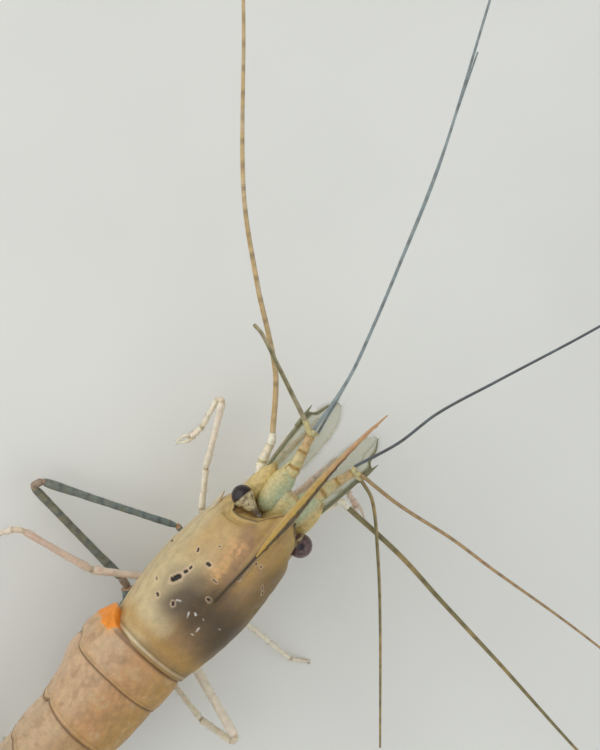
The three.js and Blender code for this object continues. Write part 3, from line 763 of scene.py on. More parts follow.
@dataclass
class Carapace:
    """The head shield: a superellipse section whose width, top and bottom run along the body.

    Marks are pixels of the photograph, found again on its surface.
    """

    rows: int = 236
    columns: int = 390
    rear: float = -61.0
    front: float = 4.0
    half_width: Stations = ((-61, 14.6), (-50, 16.8), (-36, 18.2), (-20, 17.2), (-6, 14.8), (4, 12.4))
    top: Stations = ((-61, 49.4), (-46, 51.4), (-30, 51.8), (-12, 50.7), (4, 48))
    bottom: Stations = ((-61, 20), (-50, 17.8), (-30, 17), (-12, 18.5), (4, 24))
    belly_rise: float = 2.6
    crest_height: float = 1.2
    shell: float = 0.5
    dark_line: Stations = ((276, 534), (262, 551), (245, 571), (229, 588), (216, 602))
    pits: tuple = (
        (172, 579, 178, 576, 0.85), (184, 571, 186, 570, 0.55), (190, 567, 191, 566, 0.4),
        (207, 562, 209, 564, 0.5), (197, 549, 197, 550, 0.42), (171, 540, 172, 541, 0.42),
        (156, 577, 156, 579, 0.24), (156, 593, 157, 595, 0.42), (172, 602, 172, 604, 0.42),
        (209, 600, 210, 601, 0.42), (214, 579, 218, 583, 0.22), (257, 564, 257, 565, 0.28),
        (262, 567, 262, 568, 0.25), (238, 581, 244, 576, 0.16), (263, 586, 263, 590, 0.2),
        (263, 593, 263, 594, 0.3), (219, 545, 220, 545, 0.2))
    organ_marks: Stations = ((184, 600), (199, 606), (214, 620), (226, 640))
    pale_ridge: Stations = ((283, 532), (267, 549), (253, 565), (240, 582))
    mauve_marks: Stations = ((252, 527), (245, 543), (237, 560), (229, 580))
    streak_marks: Stations = ((217, 572), (226, 560), (236, 547))
    fleck_marks: tuple = (
        (190, 613, 188, 619), (195, 614, 196, 616), (203, 620, 204, 621), (196, 633, 199, 629),
        (192, 635, 194, 636), (176, 599, 179, 600), (219, 630, 221, 631))

    def sizes(self, x: Array) -> tuple[Array, Array, Array]:
        """The section's half width, its bottom and its half height."""
        bottom = Line(self.bottom)(x)
        return Line(self.half_width)(x), bottom, 0.5 * (Line(self.top)(x) - bottom)

    def section(self, x: Array, angle: Array) -> Array:
        """Points of the plain shield, at places along the body and angles from its left side.

        The half width times the cosine, and half the height times the sine, each to the power
        2 / 2.15 above and 2 / 2.9 below. The belly is flat, the crest is a narrow hump on the
        midline, and the rear and front edges are set back where the pleura and eyes lie.
        """
        width, bottom, half = self.sizes(x)
        cosine, sine = np.cos(angle), np.sin(angle)
        power = np.where(sine >= 0, 2 / 2.15, 2 / 2.9)
        y = width * bent(cosine, power)
        z = bottom + half + half * bent(sine, power)
        flat = ramp(-np.abs(y) / width, -0.78, -0.66) * (sine < 0)
        z = z + (bottom + self.belly_rise - z) * flat
        crest = np.maximum(0.0, (x + 32) / 32) ** 0.7 * hump(y, 0.0, 1.1) * (sine > 0)
        z = z + self.crest_height * crest
        reach = (x - self.rear) / (self.front - self.rear)
        back = 3.0 * hump(z, 29, 7) * np.maximum(0.0, 1 - 3 * reach)
        over_eye = np.where(y < 0, hump(z, 38.5, 8.5), 1.1 * np.exp(-(((z - 38.5) / 11) ** 4)))
        orbit = np.where(z < 38.5, hump(z, 38.5, 7), over_eye) * np.minimum(1.0, np.abs(y) / 6)
        cut = 10.5 * orbit + 6 * np.maximum(0.0, (31 - z) / 8) ** 1.5
        return np.stack([x - back - cut * ramp(x, -14, 4), y, z], -1)

    def outward(self, points: Array, x: Array) -> Array:
        """The way out from the body's axis: y and z over the squares of the section's halves."""
        width, bottom, half = self.sizes(x)
        y = points[..., 1] / width**2
        z = (points[..., 2] - bottom - half) / half**2
        return unit(np.stack([np.zeros_like(y), y, z], -1))

    def relief(self, points: Array, x: Array) -> Array:
        """How far the shield stands out from the plain form, in millimetres.

        A bead and a groove follow the rear edge and the orbit, faint grooves part the gill
        chamber from the stomach and heart, and a shallow furrow lies on each side of the crest.
        """
        edge, lip = x - self.rear, self.front - x
        out = 0.04 * ramp(-edge, -1.5, -0.4) - 0.07 * hump(edge, 2.6, 0.7)
        out = out + 0.3 * ramp(-lip, -1.3, -0.3) - 0.3 * hump(lip, 2.3, 0.8)
        side = np.stack([points[..., 0], points[..., 2]], -1)
        upper = (points[..., 2] > 24) * ramp(np.abs(points[..., 1]), 3.0, 6.0)
        hepatic = distance_to_path(side, ((-8, 33), (-15, 36), (-22, 41), (-27, 46)))
        gill = distance_to_path(side, ((-15, 36), (-32, 39.5), (-56, 40)))
        out = out - upper * (0.4 * hump(hepatic, 0, 1.1) + 0.28 * hump(gill, 0, 1.0))
        furrow = hump(np.abs(points[..., 1]), 2.4, 1.0) * ramp(x, -50, -25) * (points[..., 2] > 40)
        return out - 0.25 * furrow + 0.1 * ripple(points, 7.0, 3)

    def pit_strokes(self, points: Array) -> list[tuple[Array, float]]:
        """Each pit's distance field on the surface, and its radius."""
        return [(VIEW.stroke(points, ((left, top), (right, low))), radius)
                for left, top, right, low, radius in self.pits]

    def paint(self, points: Array, x: Array, pits: list[tuple[Array, float]]) -> Array:
        """The shield's colours: pale flanks, a brown saddle, a golden front, marks and edges, with painted
        light and shade on the flanks, beside the crest and in the pits.
        """
        y, z = points[..., 1], points[..., 2]
        wave, small, fine = (ripple(points, *kind) for kind in ((9.0, 11), (2.6, 12), (0.9, 13)))
        cloth = Paint(points, Hue.saddle)
        # painted light and shade: the left flank is painted pale where the light falls, and the right flank
        # dark olive as its shaded side
        cloth.over(ramp(y + 1.5 * wave, 2.0, 12.5), Hue.flank)
        cloth.over(ramp(-y + 1.5 * wave, 3.0, 12.0), Hue.right_flank)
        ahead = ramp(x + 3 * wave, -40, -10)
        cloth.over(0.7 * ahead * hump(y + wave, -0.5, 5.5), Hue.gold)
        cloth.over(0.75 * ramp(x + 3 * wave, -38, -16) * ramp(y - 0.8 * wave, -1, 5)
                   * ramp(z, 36, 43), Hue.front)
        cloth.over(0.55 * ramp(x + 2 * wave + 0.25 * np.abs(y), -14, 2), Hue.gold)
        cloth.over(0.3 * ramp(x + 2 * wave, -6, 3), Hue.head)
        cloth.over(0.25 * ramp(-wave - small, -0.2, 0.8) * ramp(-y, -9, -4), Hue.mauve)
        cloth.over(0.55 * ramp(-z, -30, -20), Hue.flank)
        stripes = hump((z + 0.35 * x + 1.2 * wave) % 5.2, 2.6, 0.5) * ramp(-z, -42, -34)
        cloth.over(0.28 * stripes, Hue.joint)
        organs = VIEW.stroke(points, self.organ_marks) + 1.6 * wave
        edge = x - self.rear
        past_band = ramp(edge, 7, 12)
        cloth.over(0.5 * ramp(-organs, -14, -6) * past_band, Hue.organs * 1.6)
        cloth.over(0.8 * ramp(-organs, -9.5, -2.0) * past_band, Hue.organs)
        cloth.over(0.7 * hump(edge + 0.9 * wave, 6.2, 3.2) * (z > 30), Hue.band)
        cloth.over(0.4 * ramp(-edge, -4.2, -2.9), Hue.olive)
        cloth.over(0.35 * hump(edge, 2.5, 0.3), Hue.groove)
        # the cream line along the rear edge, made stronger towards the left as a painted highlight
        cloth.over(0.85 * hump(edge, 1.5, 0.4) * (0.5 + 0.5 * ramp(y, -4, 12)), Hue.rim)
        cloth.over(0.6 * ramp(-edge, -1.0, -0.4), Hue.band * 0.8)
        streak = VIEW.stroke(points, self.streak_marks)
        torn = 0.35 + 0.65 * ramp(small + 0.5 * fine, -0.35, 0.35)
        dusk = VIEW.stroke(points, self.mauve_marks) + 0.8 * wave
        cloth.over(0.6 * ramp(-dusk, -4.0, -0.8), Hue.mauve)
        cloth.over(0.8 * ramp(-streak - 1.0 * wave, -4.6, -0.6) * torn, Hue.peach)
        # painted highlight: a pale line along the lit ridge to the right of the crest's painted shadow
        ridge = VIEW.stroke(points, self.pale_ridge)
        cloth.over(0.4 * ramp(-ridge - 0.25 * small, -0.8, -0.1), Hue.halo)
        for away, radius in pits:
            spread = away + 0.3 * radius * fine
            cloth.over(0.5 * hump(spread, 1.7 * radius, 0.35 * radius + 0.14), Hue.halo)
            # painted shade: each pit's hollow is painted near black
            cloth.over(ramp(-spread, -1.4 * radius, -0.6 * radius), Hue.hole)
        for left, top, right, low in self.fleck_marks:
            fleck = VIEW.stroke(points, ((left, top), (right, low)))
            cloth.over(0.6 * ramp(-fleck - 0.15 * small, -0.38, -0.1), Hue.fleck)
        # painted shade: a near-black line with a brown halo along the right side of the crest, where its
        # shadow falls, wider and softer towards the rear
        near = VIEW.stroke(points, self.dark_line)
        behind = ramp(-points[..., 0], 20.0, 46.0)
        cloth.over(0.7 * hump(near, 0, 1.2 + 1.4 * behind), Hue.groove)
        thick = 0.65 + 0.5 * behind
        cloth.over((0.95 - 0.5 * behind) * ramp(-near, -thick, -0.3 * thick), Hue.line)
        lip = self.front - x
        cloth.over(0.75 * ramp(-lip, -1.0, -0.3) * (z > 26), Hue.line)
        cloth.over(0.4 * hump(lip, 1.9, 0.8), Hue.gold)
        return cloth.colours

    def spines(self) -> list[Patch]:
        """The antennal and hepatic spines, a pair on each side."""
        made = []
        for side in Side:
            antennal = side.mirrored([(-4, 12.7, 32), (1, 12.9, 32), (5.6, 13, 32.4)])
            hepatic = side.mirrored([(-14, 14.6, 31), (-9, 15.8, 30.8), (-5.5, 16.4, 30.8)])
            made.append(spine(antennal, (1.5, 1.1, 0.2), Hue.rim * 0.8))
            made.append(spine(hepatic, (1.7, 1.0, 0.2), Hue.rim * 0.8))
        return made

    def shell_patch(self) -> Patch:
        """The shield as one closed surface, its edges turned in by the shell's thickness."""
        x = np.linspace(self.rear, self.front, self.rows)[:, None]
        turn = np.linspace(0.0, 1.0, self.columns, endpoint=False)
        angle = (2 * np.pi * turn + 0.45 * np.sin(2 * np.pi * turn) - np.pi / 2)[None, :]
        x, angle = np.broadcast_arrays(x, angle)
        points = self.section(x, angle)
        out = self.outward(points, x)
        points = points + out * self.relief(points, x)[..., None]
        pits = self.pit_strokes(points)
        colours = self.paint(points, x, pits)
        for away, radius in pits:
            depth = 0.75 * radius * ramp(-away, -1.1 * radius, -0.2 * radius)
            brim = 0.12 * hump(away, 1.35 * radius, 0.4 * radius)
            points = points + out * (brim - depth)[..., None]
        inner_rear = points[:1] - out[:1] * self.shell + np.array([0.15, 0, 0])
        deep_rear = points[:1] - out[:1] * 1.6 + np.array([5.0, 0, 0])
        inner_front = points[-1:] - out[-1:] * self.shell - np.array([0.15, 0, 0])
        deep_front = points[-1:] - out[-1:] * 0.8 - np.array([0.9, 0, 0])
        middle = np.array([-2.5, 0, 34.0])
        inward = np.linspace(0, 0.96, 11)[:, None, None]
        plug = deep_front + (middle - deep_front) * inward
        plug[..., 0] += 1.6 * np.sin(np.pi * inward[..., 0])
        plug[..., 0] += 0.2 * ripple(plug, 3.0, 14)
        skin = Paint(plug, Hue.front)
        skin.blotch(0.5, 4.0, 15, -0.2, 0.6, Hue.cream_base)
        skin.over(0.35 * ramp(-inward[..., 0], -0.08, 0.0), Hue.groove)
        whole = np.concatenate([deep_rear, inner_rear, points, inner_front, plug])
        # painted shade: the shield's inside, closed off at its rear opening, is painted dark brown
        dark = Hue.organs * 0.6
        tint = np.concatenate([colours[:1] * 0 + dark, colours[:1], colours, colours[-1:], skin.colours])
        return Patch(whole, tint, np.array([-54.0, 0, 35]), middle)

    def build(self, maker: Maker) -> None:
        """Makes the shield with its spines."""
        maker.finish("head_shield", [self.shell_patch(), *self.spines()], "shell", "carapace")


@dataclass
class Rostrum:
    """The toothed beak: thin above and below, widest at the rib along each side."""

    rows: int = 460
    columns: int = 44
    start: float = -13.0
    seat_end: float = 5.0
    top: Stations = ((-13, 52.6), (0, 53.2), (8, 53), (18, 51.2), (30, 50.4), (40, 51.2), (48.5, 53.2))
    bottom: Stations = ((5, 46.8), (9, 45.6), (18, 45.2), (30, 47), (40, 49.4), (48.5, 52.6))
    rib: Stations = ((0, 50.6), (10, 49.6), (20, 48.6), (30, 48.7), (40, 50.2), (48.5, 52.9))
    half_width: Stations = ((-13, 0.5), (-4, 1.3), (2, 1.75), (10, 1.45), (25, 0.95), (40, 0.6),
                            (48.5, 0.2))
    dorsal: tuple[float, float, int, float] = (-12.5, 44.5, 12, 1.5)
    ventral: tuple[float, float, int, float] = (12.0, 43.5, 9, 1.1)
    crest: Stations = Carapace.top

    def teeth(self, x: Array, row: tuple[float, float, int, float]) -> Array:
        """A saw: each tooth rises as the 1.7th power over four fifths of its pitch, then drops."""
        first, last, count, height = row
        place = (x - first) / (last - first) * count
        part = place % 1.0
        rise = np.where(part < 0.8, (part / 0.8) ** 1.7, np.maximum(0.0, (1 - part) / 0.2) ** 1.3)
        return height * rise * (place > 0) * (place < count)

    def build(self, maker: Maker) -> None:
        """Makes the beak with its teeth and side ribs, golden at the base and reddish at the tip."""
        x = np.linspace(self.start, ROSTRUM_LENGTH, self.rows)[:, None]
        angle = np.linspace(0, 2 * np.pi, self.columns, endpoint=False)[None, :]
        x, angle = np.broadcast_arrays(x, angle)
        cosine, sine = np.cos(angle), np.sin(angle)
        top = Line(self.top)(x)
        seat = Line(self.crest)(x) + 0.1
        under = Line(self.bottom)(x)
        bottom = np.where(x < self.seat_end, seat + (under - seat) * ramp(x, 3, 5), under)
        rib = np.clip(Line(self.rib)(x), bottom + 0.3, top - 0.3)
        width = Line(self.half_width)(x) * (1 + 0.12 * hump(sine, 0, 0.22))
        y = width * bent(cosine, 1.9)
        z = np.where(sine > 0, rib + (top - rib) * sine, rib + (rib - bottom) * sine)
        z = z + self.teeth(x, self.dorsal) * ramp(sine, 0.7, 1.0)
        z = z - self.teeth(x, self.ventral) * ramp(-sine, 0.75, 1.0)
        points = np.stack([x, y, z], -1)
        cloth = Paint(points, Hue.rostrum_base)
        cloth.over(ramp(x + 3 * ripple(points, 6, 21), 12, 30), Hue.rostrum_tip)
        # painted highlight: a pale stripe along each side rib
        cloth.over(0.25 * hump(sine, 0.0, 0.3), Hue.rim)
        # painted shade: the crest's top edge is painted dark, reaching further down the right side where the
        # crest's shadow falls, and fading out towards the tip
        ridge = ramp(sine + 0.25 * (cosine < 0), 0.74, 0.86)
        cloth.over(0.9 * ridge * ramp(-x, -40, -24), Hue.line)
        # painted shade: the lower right wall near the beak's base is painted near black, as that wall lies
        # in shade
        shaded_right_wall = ramp(-cosine, 0.3, 0.8) * ramp(-sine, -0.1, 0.5)
        cloth.over(0.7 * shaded_right_wall * ramp(-x, -16, -6), Hue.line)
        cloth.over(0.35 * ramp(-sine, 0.5, 0.9), Hue.head)
        maker.finish("beak", [Patch(points, cloth.colours)], "rostrum", "rostrum")


@dataclass
class Head:
    """The block between the eyes, under the beak, and the two eyes on their stalks."""

    block: Stations = ((-6, 2.0, 31, 37), (-2.5, 2.8, 31, 38), (2, 4.4, 28.5, 39.8), (5.5, 5.6, 27.5, 40),
                       (8, 4.6, 28.3, 40.0), (9.2, 2.6, 30.4, 38))
    cornea: Point = (-2.3, 13.2, 38.5)
    cornea_radius: tuple[float, float] = (3.6, 4.1)
    root: tuple[Point, Point] = ((-3.6, 4.6, 41.5), (1.6, 5.6, 40.4))
    inward: tuple[Point, Point] = ((-0.15, -1.0, 0.35), (0.06, -1.0, -0.1))
    inner_base: Stations = ((-2, 4.4, 36, 3.0), (3, 4.9, 36.6, 4.2), (9, 5.8, 36.8, 4.1),
                            (15.5, 6.2, 37.6, 2.6))
    outer_base: Stations = ((-5, 9.4, 32.4, 2.6), (0, 9.9, 33.4, 3.4), (6, 10.2, 34.2, 3.2),
                            (13, 10.8, 34.2, 1.3))
    pupil_aim: Point = (0.05, -0.22, 1.0)
    neck: Stations = ((1.5, 3.0), (2.6, 2.75), (4.0, 2.15), (5.6, 1.5), (7.4, 1.1), (9.6, 1.3))

    def bases(self) -> list[Patch]:
        """The feelers' swollen bases: a glassy one beside the beak, and a cream one outside it.

        Each is a flattened tube whose radius follows its stations.
        """
        patches = []
        for side in Side:
            for route, colour, edge in ((self.inner_base, Hue.glass, Hue.stem),
                                        (self.outer_base, Hue.cream_base, Hue.band)):
                joints = np.array(route)
                share = np.linspace(0, 1, 64)
                path, _ = curve_through(side.mirrored(joints[:, :3]), len(share))
                radius = Line(np.column_stack([np.linspace(0, 1, len(joints)), joints[:, 3]]))(share)
                radius = radius * np.sqrt(np.maximum(0.15, 1 - (2 * share - 1) ** 6))
                tube = roughened(sweep(path, radius, 56, UP, 0.72), path[:, None], 0.05, 4.0, 33)
                cloth = Paint(tube, colour)
                outer = np.abs(tube[..., 1]) + ripple(tube, 5, 36)
                cloth.over(0.8 * ramp(outer, 5.0, 9.5), Hue.cream_base)
                cloth.blotch(0.35, 6.5, 34, 0.0, 0.8, edge)
                cloth.over(0.35 * hump(share, 0.95, 0.05)[:, None], Hue.groove)
                cloth.over(0.25 * ramp(-tube[..., 0] + ripple(tube, 4, 35), -1, 5), Hue.band)
                patches.append(Patch(tube, cloth.colours))
        return patches

    def build_block(self, maker: Maker) -> None:
        """The head block: a rounded box whose half width, bottom and top follow its stations."""
        x = np.linspace(-6, 9.2, 50)[:, None]
        angle = np.linspace(0, 2 * np.pi, 64, endpoint=False)[None, :]
        size = Line(self.block)(x[:, 0])
        half = 0.5 * (size[:, 2] - size[:, 1])[:, None]
        middle = 0.5 * (size[:, 2] + size[:, 1])[:, None]
        y = size[:, :1] * bent(np.cos(angle), 0.8)
        z = middle + half * bent(np.sin(angle), 0.8)
        points = np.stack([np.broadcast_to(x, y.shape), y, z], -1)
        points[..., 2] += 0.06 * ripple(points, 3, 31)
        cloth = Paint(points, Hue.head)
        cloth.over(0.5 * hump(points[..., 0], 8.6, 1.6), Hue.salmon)
        cloth.blotch(0.4, 5, 32, 0.0, 0.8, Hue.glass)
        maker.finish("head_block", [Patch(points, cloth.colours), *self.bases()], "head", "head")

    def build_eye(self, maker: Maker, side: Side) -> None:
        """One eye: a dark globe, and a mottled stalk that cups its inner part and thins to a neck."""
        right = side is Side.RIGHT
        centre, root = side.mirrored(self.cornea), side.mirrored(self.root[right])
        size = self.cornea_radius[right]
        axis = unit(side.mirrored(self.inward[right]))
        polar = np.linspace(0.02, np.pi - 0.02, 90)
        path = centre - np.cos(polar)[:, None] * axis * size
        globe = sweep(path, np.sin(polar) * size, 120)
        away = unit(globe - centre)
        shine = away @ unit(side.mirrored(self.pupil_aim))
        base = Hue.cornea_right if right else Hue.cornea_left
        cloth = Paint(globe, base)
        cloth.blotch(0.5, 1.5, 41, 0.0, 0.6, base * 0.5)
        spot = ramp(shine + 0.02 * ripple(globe, 1.2, 45), 0.93, 0.975)
        cloth.over((0.9 if right else 0.4) * spot, Hue.pupil)
        name = f"cornea_{side.label}"
        maker.finish(f"{name}_globe", [Patch(globe, cloth.colours)], "eye", name)
        brim = 1.5 if right else 0.2
        line, _ = curve_through([centre, centre + 4.0 * axis, 0.5 * (centre + 5.0 * axis + root), root], 100)
        away_from = np.linalg.norm(line - centre, axis=1)
        line, depth = line[away_from > brim], away_from[away_from > brim]
        cup = np.sqrt(np.maximum(0.0, (size + 0.13) ** 2 - depth**2))
        radius = np.maximum(cup, Line(self.neck)(depth))
        stalk = roughened(sweep(line, radius, 72, UP), centre, 0.07, 2.0, 42)
        cloth = Paint(stalk, Hue.stalk)
        cloth.blotch(0.8, 1.9, 43, 0.05, 0.5, Hue.joint)
        cloth.blotch(0.6, 1.2, 44, 0.2, 0.6, Hue.rim)
        cloth.over(0.8 * ramp(depth, 4.6, 6.4)[:, None], Hue.line * 1.6)
        cloth.over(0.6 * hump(depth, brim + 0.1, 0.3)[:, None], Hue.groove)
        name = f"eyestalk_{side.label}"
        maker.finish(f"{name}_cup", [Patch(stalk, cloth.colours, centre)], "stalk", name)


# Legs, claws, feelers and their stems


@dataclass(frozen=True)
class LimbLook:
    """A limb's colours: its shell, its joints, its far end, and cross bands if it has them."""

    base: Array
    joint: Array
    far: Array
    bands: Array | None = None


IVORY_LEG = LimbLook(Hue.ivory, Hue.cream_joint, Hue.blush)
PINK_LEG = LimbLook(Hue.blush, Hue.cream_joint, Hue.pink)
BLUE_CLAW = LimbLook(Hue.blue_rod, Hue.claw_joint, Hue.olive_rod, Hue.feeler_dark)
OLIVE_CLAW = LimbLook(Hue.olive_rod, Hue.claw_joint, Hue.blue_rod, Hue.feeler_dark)
STEM = LimbLook(Hue.stem, Hue.band, Hue.salmon)
PALE_STEM = LimbLook(Hue.ivory, Hue.stem, Hue.rim)

SEGMENT: Stations = ((0, 0.55), (0.03, 0.92), (0.1, 1.1), (0.26, 1.0), (0.74, 0.98), (0.9, 1.12),
                     (0.97, 0.95), (1, 0.58))
LAST_SEGMENT: Stations = ((0, 0.6), (0.05, 1.0), (0.18, 1.08), (0.6, 1.0), (0.9, 0.95), (1, 0.5))


@dataclass
class Tufts:
    """Hairs gathered for one piece: roots, tips, and each root's place on an unwrap."""

    roots: list[Array] = field(default_factory=list)
    tips: list[Array] = field(default_factory=list)
    places: list[Array] = field(default_factory=list)

    def add(self, roots: Array, tips: Array, places: Array) -> None:
        """Adds some hairs."""
        self.roots.append(roots)
        self.tips.append(tips)
        self.places.append(places)

    def along(self, route: Stations | Array, count: int, length: float, seed: int) -> None:
        """Hairs round the straight segments of a limb, leaning towards its far end.

        Args:
            route: the limb's joints, each x, y, z and radius.
            count: how many hairs a segment has.
            length: their usual length.
            seed: picks the first segment's places, and counts up from there.
        """
        joints = np.asarray(route, float)
        for i, (start, end) in enumerate(zip(joints[:-1], joints[1:])):
            rng = np.random.default_rng(seed + i)
            share = rng.beta(1.2, 0.9, count)
            turn = rng.uniform(0, 2 * np.pi, count)
            ahead = unit(end[:3] - start[:3])
            first = unit(np.cross(ahead, np.array([0.2, 0.3, 0.93])))
            other = np.cross(ahead, first)
            out = np.cos(turn)[:, None] * first + np.sin(turn)[:, None] * other
            base = start + share[:, None] * (end - start)
            roots = base[:, :3] + out * base[:, 3:] * 0.9
            reach = length * rng.uniform(0.6, 1.3, count)[:, None]
            tips = roots + reach * unit(out * 0.8 + ahead + 0.25 * rng.normal(size=(count, 3)))
            tips[:, 2] = np.maximum(tips[:, 2], 0.05)
            self.add(roots, tips, np.column_stack([0.05 + 0.9 * share, 0.05 + 0.9 * turn / (2 * np.pi)]))

    def build(self, maker: Maker, name: str, thickness: float, tint: Array, slot: str,
              finish: str = "hair") -> None:
        """Makes the hairs one piece, with a UV map that puts each at its root's place.

        Args:
            maker: makes the piece.
            name: its name.
            thickness: the hairs' radius at the root.
            tint: their colour.
            slot: the record's slot.
            finish: which finish they have.
        """
        roots, tips, places = (np.vstack(rows) for rows in (self.roots, self.tips, self.places))
        vertices, faces = bristles(roots, tips, thickness)
        tints = np.tile(np.append(tint, 1.0), (len(vertices), 1))
        piece = maker.piece(name, vertices, faces.tolist(), tints, slot, finish)
        corner = faces.ravel()
        turn = corner % HAIR_CORNERS * 0.9
        spread = 0.0015 * np.stack([np.cos(turn), np.sin(turn)], -1)
        uv = piece.data.uv_layers.new(name="OFBake")
        uv.data.foreach_set("uv", (places[corner // HAIR_CORNERS] + spread).astype(np.float32).ravel())


def ball(centre: Array, radius: float, tint: Array) -> Patch:
    """A small closed globe of 8 rings and 16 sides, for the membrane at a joint."""
    polar = np.linspace(0.15, np.pi - 0.15, 8)
    path = centre + np.stack([0 * polar, 0 * polar, -np.cos(polar)], -1) * radius
    return Patch(sweep(path, np.sin(polar) * radius, 16, np.array([1.0, 0, 0])), tint)


def limb(route: Stations, look: LimbLook, seed: int, sides: int = 28, flat: float = 1.0,
         pointed: bool = False, thickness: float = 1.0) -> list[Patch]:
    """A jointed limb: a swollen-ended tube from each joint to the next, and a soft ball between.

    The radius runs straight from joint to joint, times a profile, and the tubes bow up a little.

    Args:
        route: the joints, each x, y, z and radius.
        look: the colours.
        seed: picks the blotches.
        sides: how many points make a ring.
        flat: the height as a share of the width.
        pointed: whether the last segment tapers to a tip.
        thickness: a factor on every radius.

    Returns:
        The surfaces.
    """
    joints = np.asarray(route, float)
    total = len(joints) - 1
    patches = []
    for i, (start, end) in enumerate(zip(joints[:-1], joints[1:])):
        length = float(np.linalg.norm(end[:3] - start[:3]))
        steps = int(np.clip(length / 0.45, 26, 110))
        t = np.linspace(0, 1, steps)
        path = start[:3] + t[:, None] * (end[:3] - start[:3])
        path[:, 2] += 0.012 * length * np.sin(np.pi * t)
        last = pointed and i == total - 1
        radius = (start[3] + t * (end[3] - start[3])) * Line(LAST_SEGMENT if last else SEGMENT)(t)
        tube = sweep(path, radius * thickness, sides, None if flat == 1.0 else UP, flat)
        tube = roughened(tube, path[:, None], 0.05, 3.0, seed)
        cloth = Paint(tube, look.base)
        share = ((i + t) / total)[:, None]
        cloth.over(0.55 * ramp(share, 0.35, 1.0), look.far)
        cloth.blotch(0.45, 4.0, seed + 1, 0.15, 0.8, look.far)
        if look.bands is not None:
            place = (t * length)[:, None] + 0.8 * ripple(tube, 5.0, seed + 2)
            cloth.over(0.55 * hump(place % BAND_PITCH, 0.5 * BAND_PITCH, 0.8), look.bands)
        edge = (t if last else np.minimum(t, 1 - t)) * length
        cloth.over(0.75 * ramp(-edge, -1.1, -0.3)[:, None], look.joint)
        patches.append(Patch(tube, cloth.colours))
        if i < total - 1:
            patches.append(ball(end[:3], 0.86 * end[3] * thickness * min(1.0, flat + 0.1), look.joint))
    return patches


def knuckle(upper: Stations, lower: Stations, look: LimbLook, slim: float) -> Patch:
    """The rounded knuckle that fills the gap between a limb's two lengths."""
    above, below = np.array(upper[-1]), np.array(lower[0])
    ahead = unit(below[:3] - above[:3])
    steps = 20
    path = np.linspace(above[:3] - 0.5 * ahead, below[:3] + 0.5 * ahead, steps)
    bulge = np.sqrt(np.maximum(0.02, 1 - np.linspace(-1, 1, steps) ** 4))
    size = np.linspace(above[3], below[3], steps) * 0.95 * slim * bulge
    return Patch(sweep(path, size, 20), 0.5 * (look.joint + look.base))


